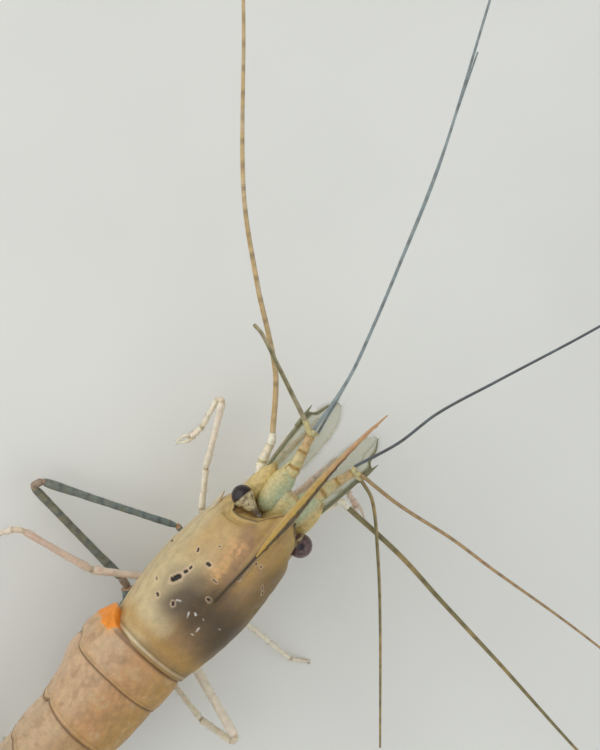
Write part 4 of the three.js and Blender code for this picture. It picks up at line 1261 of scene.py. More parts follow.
@dataclass
class Legs:
    """The first legs, with small nippers, and the three pairs of walking legs.

    Each leg has an upper and a lower length, routes of joints: x, y, z and radius.
    """

    routes: dict[str, tuple[Stations, Stations]] = field(default_factory=lambda: {
        "leg_3_left": (
            ((-36.6, 8.2, 14.2, 1.6), (-33, 7.8, 8.6, 1.5), (-11, 8, 7.8, 1.2)),
            ((-9.4, 5.4, 6.8, 1.1), (-19, 4.8, 5.4, 1), (-38, 6, 2.8, 0.8), (-44, 6.6, 0, 0.5))),
        "leg_4_left": (
            ((-44.4, 8.6, 14.6, 1.7), (-55.4, 28.6, 19, 1.7), (-57.8, 57.2, 29.6, 1.4)),
            ((-59.6, 59.6, 28.6, 1.3), (-67, 60.6, 18, 1.1), (-82, 62, 4, 0.9), (-87, 62.5, 0, 0.5))),
        "leg_5_left": (
            ((-52.6, 8, 14.6, 1.7), (-58, 7, 14.6, 1.5), (-82, 5.6, 15.6, 1.2)),
            ((-85.2, 5.4, 15, 1.1), (-97, 4.4, 12, 1), (-117, 4.6, 3.2, 0.8), (-123, 5, 0, 0.5))),
        "leg_3_right": (
            ((-35.4, -8.4, 14.6, 1.7), (-31, -13, 14.2, 1.5), (-19, -18.4, 13.6, 1.2)),
            ((-21.4, -20.6, 12.6, 1.1), (-37, -23.4, 12, 1.1), (-37.6, -52.4, 3.4, 0.9),
             (-34.4, -60, 0, 0.5))),
        "leg_4_right": (
            ((-44, -8.4, 14, 1.7), (-47, -14, 11.4, 1.5), (-65, -20.4, 8.4, 1.2)),
            ((-65.4, -22.8, 6.6, 1.1), (-58, -23.6, 4.6, 1), (-46, -21.6, 1.9, 0.8),
             (-41, -20.6, 0, 0.5))),
        "leg_5_right": (
            ((-52.6, -8.6, 14.6, 1.8), (-57, -17.4, 15.4, 1.8), (-66.8, -46.6, 27.6, 1.6)),
            ((-69, -48, 25.4, 1.4), (-72, -38.4, 15, 1.2), (-70.2, -25, 5, 0.9), (-69.4, -19.4, 0, 0.5))),
        "leg_1_left": (
            ((-19, 6.4, 15, 1.4), (-16.6, 13, 14.6, 1.4), (-5, 22.5, 18, 1.3), (16, 36.2, 26, 1.5)),
            ((15.2, 37, 22.6, 1.1), (4.6, 32.9, 17.4, 1.1), (-0.6, 32.6, 14.4, 1.4),
             (-5.4, 34.6, 12.4, 0.4))),
        "leg_1_right": (
            ((-18.6, -6.4, 15, 1.4), (-13.4, -9, 14, 1.3), (0, -11.4, 13, 1.2), (11, -13, 12.4, 1.2)),
            ((13.4, -14.6, 12.2, 1), (20.6, -22.6, 12, 1.1), (18.6, -29, 11, 1.4), (17, -34.4, 10, 0.4)))})

    def nippers(self, lower: Stations, look: LimbLook, seed: int) -> list[Patch]:
        """A small pair of fingers past the last joint, a third of their length apart."""
        hand, tip = np.array(lower[-2]), np.array(lower[-1])
        aside = unit(np.cross(tip[:3] - hand[:3], UP))
        fingers = []
        for way in (-1.0, 1.0):
            middle = 0.5 * (hand[:3] + tip[:3]) + way * aside * 1.0
            end = tip[:3] + way * aside * 0.25
            path, along = curve_through([hand[:3] + way * aside * 0.55, middle, end], 30)
            tube = sweep(path, np.interp(along / along[-1], (0, 0.3, 1), (0.75, 0.6, 0.16)), 16)
            cloth = Paint(tube, look.base)
            cloth.blotch(0.6, 2.0, seed, 0.0, 0.5, look.far)
            fingers.append(Patch(tube, cloth.colours))
        return fingers

    def build(self, maker: Maker) -> None:
        """Makes every leg and its hairs."""
        tufts = Tufts()
        for seed, (name, (upper, lower)) in enumerate(self.routes.items(), 50):
            look = PINK_LEG if name in ("leg_4_left", "leg_1_right") else IVORY_LEG
            slim = 0.95 if name == "leg_5_right" else 0.78
            low = [knuckle(upper, lower, look, slim)]
            if name.startswith("leg_1"):
                low += limb(lower[:-1], look, seed + 20, thickness=slim) + self.nippers(lower, look, seed)
            else:
                low += limb(lower, look, seed + 20, pointed=True, thickness=slim)
            maker.finish(f"{name}_thigh", limb(upper, look, seed, thickness=slim), "leg", f"{name}_upper")
            maker.finish(f"{name}_shin", low, "leg", f"{name}_lower")
            tufts.along(upper, 14, 1.3, seed * 10)
            tufts.along(lower, 40, 1.3, seed * 10 + 5)
        tufts.build(maker, "leg_hairs", 0.06, Hue.setae, "leg")


@dataclass
class ClawLegs:
    """The long blue claw legs, folded back under the body, with rows of small blunt spines."""

    arms: tuple[Stations, Stations] = (
        ((-27.4, 7.8, 13.4, 1.6), (-26.4, 14.6, 12.8, 1.8), (-44.4, 59.4, 11.4, 2.5)),
        ((-27, -6.4, 13.4, 1.6), (-31, -4.4, 10, 1.8), (-61, -3.6, 8.4, 2.2)))
    forearms: tuple[Stations, Stations] = (
        ((-47.8, 60.6, 10.6, 2.3), (-52.8, 16, 8.6, 2.6)),
        ((-64.4, -6, 8.2, 2.1), (-99, -9.4, 6.6, 2.6)))
    palms: tuple[Stations, Stations] = (
        ((-53.8, 11.8, 8.4, 2.4), (-57, 7.6, 8, 3), (-76, 2.4, 6.8, 3)),
        ((-103, -9.6, 6.4, 2.4), (-108, -9.4, 6.2, 3), (-127, -7.6, 5.6, 3)))
    fixed: tuple[Stations, Stations] = (
        ((-74, 1.4, 6.6, 1.7), (-86, -1.6, 5.6, 1.4), (-97, -1.4, 5, 0.5)),
        ((-125, -8.8, 5.4, 1.7), (-137, -9, 4.8, 1.4), (-148, -7.6, 4.4, 0.5)))
    fingers: tuple[Stations, Stations] = (
        ((-79, 4.8, 6.4, 1.2), (-88, 2.4, 5.6, 1.1), (-98, 0.9, 5, 0.4)),
        ((-130, -5.4, 5.2, 1.2), (-139, -4.8, 4.8, 1.1), (-148.6, -5.4, 4.4, 0.4)))
    slim: float = 0.58

    def finger(self, route: Stations, seed: int) -> Patch:
        """A claw's finger: a smooth taper along a curve, pale at its bent tip, with dark bands."""
        joints = np.asarray(route, float)
        path, along = curve_through(joints[:, :3], 70)
        share = along / along[-1]
        size = joints[:, 3]
        radius = np.interp(share, (0, 0.5, 0.92, 1), (size[0], size[1], size[2] * 1.2, size[2] * 0.6))
        tube = sweep(path, radius, 26)
        cloth = Paint(tube, Hue.blue_rod)
        cloth.blotch(0.5, 3.0, seed, 0.0, 0.6, Hue.feeler_dark)
        cloth.over(0.9 * ramp(share, 0.9, 0.97)[:, None], Hue.orange)
        return Patch(tube, cloth.colours)

    def build(self, maker: Maker) -> None:
        """Makes both claw legs and their spines."""
        routes = zip(Side, self.arms, self.forearms, self.palms, self.fixed, self.fingers)
        for seed, (side, arm, forearm, palm, fixed, finger) in enumerate(routes, 90):
            name = f"claw_leg_{side.label}"
            rod = limb(arm, BLUE_CLAW, seed, 40, thickness=self.slim)
            rod.append(knuckle(arm, forearm, BLUE_CLAW, self.slim))
            maker.finish(f"{name}_rod", rod, "claw", f"{name}_arm")
            rod = limb(forearm, OLIVE_CLAW, seed + 1, 40, thickness=self.slim)
            rod.append(knuckle(forearm, palm, BLUE_CLAW, self.slim))
            maker.finish(f"{name}_wristed_rod", rod, "claw", f"{name}_forearm")
            hand = limb(palm, BLUE_CLAW, seed + 2, 44, flat=0.8, thickness=0.9)
            hand.append(self.finger(fixed, seed + 3))
            maker.finish(f"{name}_hand", hand, "claw", f"{name}_palm")
            thumb = self.finger(finger, seed + 4)
            maker.finish(f"{name}_thumb", [thumb], "claw", f"{name}_finger")
            spines = Tufts()
            rows = ((arm[1:], self.slim), (forearm, self.slim), (palm[1:], 0.85))
            for i, (route, slim) in enumerate(rows):
                spines.along(np.array(route) * (1, 1, 1, slim), 230, 0.4, seed * 30 + i * 7)
            spines.build(maker, f"{name}_spines", 0.12, Hue.blue_rod * 1.3, "claw", "claw")


@dataclass
class Feelers:
    """The ringed feelers: six antennule branches, two long antennae, and the stems they grow from.

    A feeler's route is a list of given places, and its radii are those at root and tip.
    """

    ring: float = 0.62
    sides: int = 12
    routes: dict[str, tuple[float, float, Array, Array, list[Point]]] = field(default_factory=lambda: {
        "antennule_left_short": (0.85, 0.65, Hue.feeler_olive, Hue.rim, [
            (29.4, 14.6, 38.4), (36.2, 32.6, 38.6), (40.7, 45.2, 40.2), (41.2, 49.4, 41)]),
        "antennule_left_outer": (0.62, 0.35, Hue.feeler_clear, Hue.feeler_blue, [
            (29, 10.2, 38.6), (48.6, 14.3, 42), (64, 20.5, 46), (84.5, 30, 52), (114.6, 43.8, 58),
            (158, 67.5, 64), (205, 92, 66)]),
        "antennule_left_inner": (0.5, 0.3, Hue.feeler_clear, Hue.feeler_dark, [
            (28.8, 7.9, 37.2), (48.5, 13.3, 39.2), (63.8, 18.9, 41.4), (83.5, 27.5, 45), (112, 40, 49),
            (150, 58, 52)]),
        "antennule_right_outer": (0.55, 0.35, Hue.feeler_dark, Hue.feeler_blue, [
            (29, -8.6, 38.6), (44.2, -13.1, 42), (60.1, -14.8, 46), (80.3, -20.1, 52), (114.2, -30, 60),
            (150, -40, 64), (190, -51, 66)]),
        "antennule_right_inner": (0.7, 0.35, Hue.feeler_tan, Hue.salmon, [
            (28.4, -11.8, 38.2), (29.4, -29.3, 38.4), (32.8, -51.8, 38), (34.4, -71, 37),
            (37.5, -101.1, 34.4), (39.2, -124, 31), (41, -160, 28)]),
        "antennule_right_short": (0.65, 0.4, Hue.feeler_olive, Hue.feeler_gold, [
            (27.2, -13.8, 37), (24.4, -23, 34.4), (12.6, -37.9, 31.8), (-4.2, -59, 22),
            (-40, -97.4, 12)]),
        "antenna_left": (1.0, 0.4, Hue.feeler_gold, Hue.rim, [
            (17.6, 16.2, 30.6), (33.4, 29.6, 31), (41.6, 41, 33), (51.3, 56, 35.5), (70, 80.8, 40),
            (107, 117, 46), (148, 158, 50)]),
        "antenna_right": (1.0, 0.4, Hue.feeler_olive, Hue.feeler_gold, [
            (17.2, -16.8, 30.6), (16.8, -45.2, 30), (14.6, -67.2, 30.4), (12.9, -86, 30),
            (11.2, -104.6, 28.4), (6.6, -148.3, 24), (3, -195, 20)])})
    antennule: Stations = ((6.6, 4.0, 36.6, 2.4), (16, 6.4, 38, 2.2), (21.5, 8, 38.3, 1.75),
                           (27, 9.6, 38.4, 1.4))
    antenna: Stations = ((3.0, 8.8, 29.4, 2.0), (10, 13.2, 29.4, 1.7), (16.2, 15.4, 30.2, 1.25))
    palp: Stations = ((-7, 4.4, 17.4, 1.3), (5, 6.4, 19.4, 1.6), (17, 7.2, 22.4, 1.3), (27, 6.8, 25, 0.7))

    def whip(self, name: str, maker: Maker) -> None:
        """One feeler: a tube whose radius steps in and out with every ring, paler along its edge."""
        thick, thin, base, edge, route = self.routes[name]
        rough_length = float(np.linalg.norm(np.diff(np.array(route), axis=0), axis=1).sum())
        steps = int(rough_length / self.ring) * 3
        path, along = curve_through(route, steps)
        share = along / along[-1]
        part = np.arange(steps) % 3
        radius = (thick + (thin - thick) * share) * np.choose(part, (1.0, 1.03, 0.86))
        tube = sweep(path, radius, self.sides)
        cloth = Paint(tube, base)
        light = 0.5 * (1 + np.cos(np.linspace(0, 4 * np.pi, self.sides, endpoint=False)))
        cloth.over(0.5 * light[None, :], edge)
        cloth.blotch(0.35, 14.0, len(name), 0.0, 0.6, edge)
        band = hump(along % 7.4, 3.7, 1.1) * ramp(share, 0.02, 0.1)
        cloth.over(0.35 * band[:, None], Hue.line * 1.5)
        cloth.over(np.where(part == 2, 0.5, 0.0)[:, None], Hue.groove * 0.7)
        maker.finish(f"{name}_whip", [Patch(tube, cloth.colours)], "feeler", name)

    def stems(self, side: Side, maker: Maker) -> None:
        """The antennule's three-jointed stem and the antenna's stout one, on one side."""
        joints = side.mirrored(self.antennule)
        stem = limb(joints, STEM, 120, 40, flat=0.86)
        end = joints[-1, :3]
        for key in (key for key in self.routes if key.startswith(f"antennule_{side.label}")):
            thick, root = self.routes[key][0], np.array(self.routes[key][-1][0])
            path, along = curve_through([end, 0.5 * (end + root), root], 16)
            size = np.interp(along, (0, along[-1]), (1.0, thick * 1.15))
            stem.append(Patch(sweep(path, size, 20), Hue.stem))
        outer = side.mirrored([(8.5, 6.4, 36.4), (12.5, 8.6, 37.2), (17.0, 8.9, 38.6)])
        stem.append(spine(outer, (1.0, 0.7, 0.15), Hue.stem))
        maker.finish(f"antennule_{side.label}_stem", stem, "head", f"antennule_stem_{side.label}",
                     finish="stem")
        joints = side.mirrored(self.antenna)
        stout = limb(joints, PALE_STEM, 130, 40)
        first, second = np.array(self.routes[f"antenna_{side.label}"][-1][:2])
        bridge, along = curve_through([joints[-1, :3], first, first + 0.1 * (second - first)], 14)
        stout.append(Patch(sweep(bridge, np.interp(along, (0, along[-1]), (1.45, 1.1)), 24), Hue.ivory))
        maker.finish(f"antenna_{side.label}_stem", stout, "head", f"antenna_stem_{side.label}",
                     finish="stem")

    def build(self, maker: Maker) -> None:
        """Makes the feelers, their stems and the palps at the mouth."""
        for name in self.routes:
            self.whip(name, maker)
        fringe = Tufts()
        for seed, side in enumerate(Side, 140):
            self.stems(side, maker)
            route = side.mirrored(self.palp)
            name = f"palp_{side.label}"
            maker.finish(f"{name}_limb", limb(route, PINK_LEG, seed, pointed=True), "leg", name)
            fringe.along(route, 60, 1.7, seed * 10)
        fringe.build(maker, "palp_hairs", 0.05, Hue.setae, "leg")


# Plates: antennal scales and the tail fan


@dataclass
class Plate:
    """A thin plate with a rounded edge, thickest along its ribs.

    Across the plate runs a share v from the right edge to the left one. Its surface is the chord
    plane plus and minus the thickness, times the square root of a sine, so that the edge is round.
    """

    root: Array
    heading: float
    dip: float
    start: float
    end: float
    left: Line
    right: Line
    rib: Line
    edge: float = 0.2
    rows: int = 120
    columns: int = 120

    def axes(self) -> Array:
        """The plate's directions: along it, across it to its left, and out of its upper face."""
        turn, dip = np.radians(self.heading), np.radians(self.dip)
        along = np.array([np.cos(turn) * np.cos(dip), np.sin(turn) * np.cos(dip), -np.sin(dip)])
        across = np.array([-np.sin(turn), np.cos(turn), 0.0])
        return np.stack([along, across, np.cross(along, across)])

    def share(self) -> tuple[Array, Array, Array]:
        """For every grid point: its place along, its share across, and its side, up or down."""
        s = np.linspace(self.start, self.end, self.rows)[:, None]
        turn = np.linspace(0, 2 * np.pi, self.columns, endpoint=False)[None, :]
        s, turn = np.broadcast_arrays(s, turn)
        return s, 0.5 * (1 - np.cos(turn)), np.sin(turn)

    def points(self, ribs: tuple[tuple[float, float, float], ...], lines: float = 0.05) -> Array:
        """The plate's grid.

        Args:
            ribs: each rib's share across, width and height.
            lines: the height of the fine furrows.

        Returns:
            The points.
        """
        s, v, face = self.share()
        right, left = self.right(s), self.left(s)
        across = right + (left - right) * v
        thick = self.edge + (self.rib(s) - self.edge) * (1 - np.abs(2 * v - 1)) ** 1.3
        for centre, width, height in ribs:
            thick = thick + height * hump(v, centre, width)
        thick = thick + lines * furrows(v)
        up = np.sign(face) * np.sqrt(np.abs(face)) * thick
        places = (side[..., None] * axis for side, axis in zip((s, across, up), self.axes()))
        return sum(places, self.root)

    def rim(self, s: Array, left: bool) -> Array:
        """Places on the plate's left or right edge."""
        basis = self.axes()
        across = (self.left if left else self.right)(s)
        return self.root + s[:, None] * basis[0] + across[:, None] * basis[1]

    def fringe(self, tufts: Tufts, low: float, high: float, left: bool, count: int, length: float,
               seed: int) -> None:
        """Hairs along a stretch of an edge, in the plate's plane, leaning towards its end.

        Args:
            tufts: gathers the hairs.
            low: where the stretch starts.
            high: where it ends.
            left: which edge.
            count: how many hairs.
            length: their usual length.
            seed: picks their small differences.
        """
        rng = np.random.default_rng(seed)
        s = np.linspace(low, high, count)
        roots = self.rim(s, left)
        basis = self.axes()
        out = (1.0 if left else -1.0) * basis[1]
        lean = ramp(s, low, self.end)[:, None]
        wobble = 0.12 * rng.normal(size=(count, 3))
        aim = unit(out * (1.0 - 0.75 * lean) + basis[0] * (0.55 + 0.9 * lean) + wobble)
        tips = roots + aim * (length * rng.uniform(0.75, 1.1, count))[:, None]
        wide = self.left(s) if left else self.right(s)
        spread = 2.2 * max(abs(self.end), 1.0)
        places = np.column_stack([s / spread + 0.25, 0.5 + wide / spread])
        tufts.add(roots, tips, places)


@dataclass
class AntennalScale:
    """The scale beside each antenna: a clear blade, a stout outer rib and spine, a hairy inner edge."""

    outer: Stations = ((-1, 11.0), (4, 11.9), (14, 13.6), (32, 15), (33.5, 13.2), (38, 11.6), (41, 9.2))
    inner: Stations = ((-1, 8.4), (4, 6.0), (14, 3.4), (28, 3.2), (36, 4.8), (41, 8))
    height: float = 33.6
    rise: float = 3.0

    def build(self, side: Side, maker: Maker, fringe: Tufts) -> None:
        """Makes one scale and gathers its fringe with the other's."""
        is_left = side is Side.LEFT
        edges = [Line(side.mirrored(edge)) for edge in (self.outer, self.inner)]
        left, right = edges if is_left else edges[::-1]
        plate = Plate(np.array([0.0, 0.0, self.height]), 0.0, -self.rise, -1.0, 41.0, left, right,
                      Line(((4, 0.5), (41, 0.3))), 0.16, 150, 170)
        outer_share, mid_share = (0.93, 0.62) if is_left else (0.07, 0.38)
        points = plate.points(((outer_share, 0.06, 0.5), (mid_share, 0.035, 0.16)), 0.06)
        s, v, _ = plate.share()
        away = v if is_left else 1 - v
        wave = ripple(points, 6.0, 61)
        cloth = Paint(points, Hue.glass)
        cloth.over(0.75 * ramp(-s - 2 * wave, -9, -2), Hue.band)
        cloth.over(0.3 * ramp(s + 2 * wave, 14, 34), Hue.head)
        cloth.over(0.2 * (0.5 + 0.5 * furrows(v)), Hue.olive)
        cloth.over(0.4 * hump(away, 0.62, 0.05), Hue.olive)
        cloth.over(0.92 * ramp(away + 0.01 * wave, 0.83, 0.89), Hue.feeler_olive * 0.8)
        cloth.over(0.6 * ramp(away, 0.965, 1.0), Hue.rim)
        cloth.over(0.7 * ramp(-away, -0.05, 0.0), Hue.rim)
        solid = np.clip(0.3 + 0.6 * ramp(away, 0.8, 0.9) + 0.35 * ramp(-s, -14, -4)
                        + 0.2 * hump(away, 0.62, 0.05) + 0.3 * ramp(-away, -0.06, 0.0), 0, 1)
        tint = np.concatenate([cloth.colours, solid[..., None]], -1)
        thorn = side.mirrored([(26, 14.4, 35.0), (31, 15.0, 35.3), (34.6, 15.5, 35.5)])
        patches = [Patch(points, tint), spine(thorn, (0.75, 0.7, 0.12), Hue.feeler_olive)]
        name = f"antennal_scale_{side.label}"
        maker.finish(f"{name}_blade", patches, "scale", name)
        plate.fringe(fringe, 16.0, 41.0, not is_left, 220, 2.2, 62)
        plate.fringe(fringe, 34.5, 41.0, is_left, 60, 2.0, 63)


@dataclass
class Abdomen:
    """Six rings that overlap like roof tiles, with side flaps and, below, the swimmerets."""

    lengths: tuple[float, ...] = (12.5, 20, 19, 14.5, 12, 17)
    widths: tuple[float, ...] = (29, 28.8, 27, 23.8, 20, 15.5)
    backs: tuple[float, ...] = (14.3, 14.6, 14, 12.2, 10.2, 8)
    flanks: tuple[float, ...] = (13, 15.5, 14.5, 12.8, 10.5, 7)
    tilts: tuple[float, ...] = (0, 3, 9, 18, 25, 27)
    flank_bow: tuple[float, ...] = (0, -2.6, 3, 2, 1.4, 0.8, 0)
    rounding: tuple[float, ...] = (2.4, 4.6, 4.2, 4, 3.6, 2.4)
    reach: tuple[float, ...] = (9.5, 13, 12, 10.6, 9.6)
    start: Point = (-61.3, 0.0, 35.0)
    growth: Stations = ((-0.08, 0.925), (0, 0.95), (0.1, 0.985), (0.5, 1.015), (0.85, 1.02), (1, 1.0),
                        (1.04, 1.0))
    flap: Stations = ((-1, 0.86, 1.0), (-0.78, 0.98, 0.75), (-0.4, 1.0, 0.4), (0, 1.0, 0.0))
    belly: Stations = ((0, 0.86, -1, 1), (0.15, 0.74, -0.95, 1), (0.35, 0.66, -0.72, 0.15),
                       (0.6, 0.33, -0.72, 0), (1, 0, -0.72, 0))
    fullness: Stations = ((-110, 0), (-96, 0), (-86, 1.2), (-78, 4.2), (-68, 5.2), (-60, 4.6))
    hairs: int = 90
    orange_marks: Stations = ((105, 600), (107, 606), (109, 612), (112, 620))

    def axis(self) -> Array:
        """The seven places between rings on the abdomen's axis, each ring dipping by its tilt."""
        steps = np.array(self.lengths)[:, None] * dipping(self.tilts)[0]
        return np.vstack([self.start, np.array(self.start) + np.cumsum(steps, axis=0)])

    def marks(self) -> Array:
        """The tilt at each of those places, the mean of the two rings that meet there."""
        tilts = np.array(self.tilts, float)
        return np.concatenate([[0.0], 0.5 * (tilts[:-1] + tilts[1:]), tilts[-1:]])

    def outline(self) -> tuple[Array, Array, Array, Array]:
        """One ring's section as shares.

        Returns:
            y over half width, height over the back's, depth over the flank's, and how far down the
            flap each point is.
        """
        low = np.linspace(-1, 0, 56)
        flap = Line(self.flap)(low)
        arch = np.linspace(0, np.pi, 148)[1:-1]
        under = np.linspace(0, 1, 26)
        table = np.array(self.belly)
        belly = np.column_stack([np.interp(under, table[:, 0], table[:, i]) for i in (1, 2, 3)])[1:]

        def around(left: Array, over: Array, below: Array, sign: float = 1.0) -> Array:
            """The whole round, from its left flank over the back and along the belly."""
            return np.concatenate([left, over, sign * left[::-1], sign * below, below[-2::-1]])

        y = around(flap[:, 0], bent(np.cos(arch), 0.93), belly[:, 0], -1.0)
        back = around(0 * low, np.sin(arch) ** 0.93, 0 * belly[:, 0])
        return y, back, around(low, 0 * arch, belly[:, 1]), around(flap[:, 1], 0 * arch, belly[:, 2])

    def ring(self, k: int, rows: int) -> Patch:
        """A ring's shell, in some rows of sections, its rear edge turned in over the next ring."""
        axis, marks = self.axis(), self.marks()
        t = np.linspace(-0.08, 1.04, rows)[:, None]
        y, back, flank, lobe = (part[None, :] for part in self.outline())
        grow = Line(self.growth)(t)
        grow = grow - 0.005 * hump(t, 0.93, 0.02) - 0.004 * hump(t, 0.16, 0.03)
        after = self.widths[k + 1] / self.widths[k] if k < 5 else 0.86
        taper = 1 + (after - 1) * 0.6 * np.clip(t, 0, 1)
        half, height = 0.5 * self.widths[k] * grow * taper, self.backs[k] * grow * taper
        across = half * y
        lift = height * back + self.flanks[k] * taper * flank
        bow = self.flank_bow[k] + (self.flank_bow[k + 1] - self.flank_bow[k]) * t
        shift = bow * np.sin(np.pi * np.minimum(lobe, 0.85)) + self.rounding[k] * lobe**3 * (1 - 2 * t)
        middle = axis[k] + t[..., None] * (axis[k + 1] - axis[k])
        if k == 0:
            shift = shift + (3.0 * hump(35 + lift, 29, 7) + 0.3) * (1 - t)
            shift = shift - 6.5 * ramp(y, 0.5, 0.95) * hump(35 + lift, 31, 6.5) * (1 - t) ** 2
        along, up = dipping(marks[k] + (marks[k + 1] - marks[k]) * np.clip(t, 0, 1))
        points = middle + shift[..., None] * along + lift[..., None] * up
        points[..., 1] += across
        points[..., 1] += Line(self.fullness)(points[..., 0]) * ramp(y, 0.3, 1.0)
        core = middle - 0.2 * self.flanks[k] * up
        points = roughened(points, core, 0.12, 8.0, 70 + k)
        colours = self.paint(points, t, lobe, k)
        lip = core[-1:] + (points[-1:] - core[-1:]) * 0.955
        deep = core[-1:] + (points[-1:] - core[-1:]) * 0.9 - 1.6 * along[-1:]
        front = core[:1] + (points[:1] - core[:1]) * 0.9
        whole = np.concatenate([front, points, lip, deep])
        # painted shade: the turned-in rear edge, tucked over the next ring, is painted at 0.4 of the edge
        # colour
        tint = np.concatenate([colours[:1], colours, colours[-1:], colours[-1:] * 0.4])
        return Patch(whole, tint, core[0, 0], core[-1, 0] - 2.5 * along[-1, 0])

    def paint(self, points: Array, t: Array, lobe: Array, k: int) -> Array:
        """A ring's colours: salmon and gold in front, grey-olive behind, rosy flaps, brown joints."""
        y = points[..., 1]
        wave, small = ripple(points, 8.0, 80 + k), ripple(points, 2.4, 90 + k)
        cloth = Paint(points, Hue.salmon)
        cloth.over(0.75 * ramp(-y + 2 * wave, -2, 9), Hue.band)
        cloth.over(min(1.0, 0.3 * max(0, k - 1)), Hue.rear)
        cloth.over(0.6 * ramp(lobe, 0.1, 0.6), Hue.pleura)
        # painted light: the left side of each ring is painted paler, as on the shield's lit left flank
        cloth.over(0.45 * ramp(y + wave, 4, 12), Hue.pleura)
        cloth.over(0.4 * ramp(wave + 0.6 * small, 0.1, 0.9), Hue.saddle)
        cloth.over(0.3 * ramp(-wave + 0.6 * small, 0.3, 0.9), Hue.flank)
        cloth.over(0.25 * ramp(t + 0.02 * small, 0.8, 0.93), Hue.band)
        cloth.over(0.75 * ramp(t, 0.985, 1.005), Hue.joint)
        cloth.over(0.22 * hump(t, 0.93, 0.012), Hue.joint)
        cloth.over(0.6 * ramp(-t, -0.06, -0.01), Hue.joint)
        cloth.over(0.5 * ramp(lobe, 0.93, 1.0), Hue.rim)
        if k == 0:
            torn = 0.8 * small + 0.5 * wave + 0.5 * ripple(points, 0.9, 97)
            far = VIEW.stroke(points, self.orange_marks) + torn
            cloth.over(0.7 * ramp(-far, -5.8, -3.0), Hue.peach)
            cloth.over(0.95 * ramp(-far, -3.6, -2.6), Hue.orange)
        return cloth.colours

    def swimmeret(self, k: int, side: Side, fringe: Tufts) -> list[Patch]:
        """One swimmeret of a ring: a short stem and two hairy blades that sweep back."""
        axis, marks = self.axis(), self.marks()
        back, up = dipping(marks[k + 1] + 4)
        root = axis[k] + 0.45 * (axis[k + 1] - axis[k])
        floor = -0.72 * self.flanks[k]
        knee = floor - 4.6
        reach = self.reach[k]

        def place(behind: float, across: float, lift: float) -> Array:
            """A point of the swimmeret, from its root on the axis."""
            aside = (0.2 * self.widths[k] + across) * side.value
            return root + behind * back + lift * up + np.array([0.0, aside, 0.0])

        stem, along = curve_through([place(0, 0, floor + 1.5), place(3, 0, knee)], 26)
        share = along / along[-1]
        patches = [Patch(sweep(stem, np.interp(share, (0, 0.2, 1), (1.5, 1.6, 1.15)), 26), Hue.pleura)]
        for number, (spread, drop) in enumerate(((1.8, 1.6), (-1.4, 0.8))):
            route = [place(3, 0, knee), place(3 + 0.5 * reach, 0.7 * spread, knee - 0.6 * drop),
                     place(3 + reach, spread, knee - drop)]
            path, along = curve_through(route, 44)
            share = along / along[-1]
            size = np.interp(share, (0, 0.12, 0.5, 0.85, 1), (0.6, 1.0, 1.6, 1.1, 0.35))
            blade = sweep(path, size, 28, np.array([0.0, 0.35 * side.value, 1.0]), 0.42)
            cloth = Paint(blade, Hue.pleura)
            cloth.blotch(0.5, 3.0, k, 0, 0.6, Hue.salmon)
            patches.append(Patch(blade, cloth.colours))
            rng = np.random.default_rng(200 + 10 * k + number)
            pick = np.linspace(6, 43, self.hairs).astype(int)
            way = np.where(np.arange(self.hairs) % 2 == 0, 1.0, -1.0)[:, None] * np.array([0.0, 1.0, 0.0])
            roots = path[pick] + way * (size[pick] * 0.9)[:, None]
            tips = roots + 1.7 * unit(way + 1.2 * back + 0.1 * rng.normal(size=way.shape))
            fringe.add(roots, tips, np.column_stack([0.05 + 0.9 * share[pick], 0.5 + 0.3 * way[:, 1]]))
        return patches

    def build(self, maker: Maker) -> None:
        """Makes the six rings with their swimmerets, and the hairs below."""
        fringe = Tufts()
        for k in range(6):
            patches = [self.ring(k, 104 if k < 2 else 72)]
            if k < 5:
                for side in Side:
                    patches += self.swimmeret(k, side, fringe)
            maker.finish(f"ring_{k + 1}", patches, "abdomen", f"somite_{k + 1}")
        fringe.build(maker, "swimmeret_hairs", 0.06, Hue.setae, "abdomen")


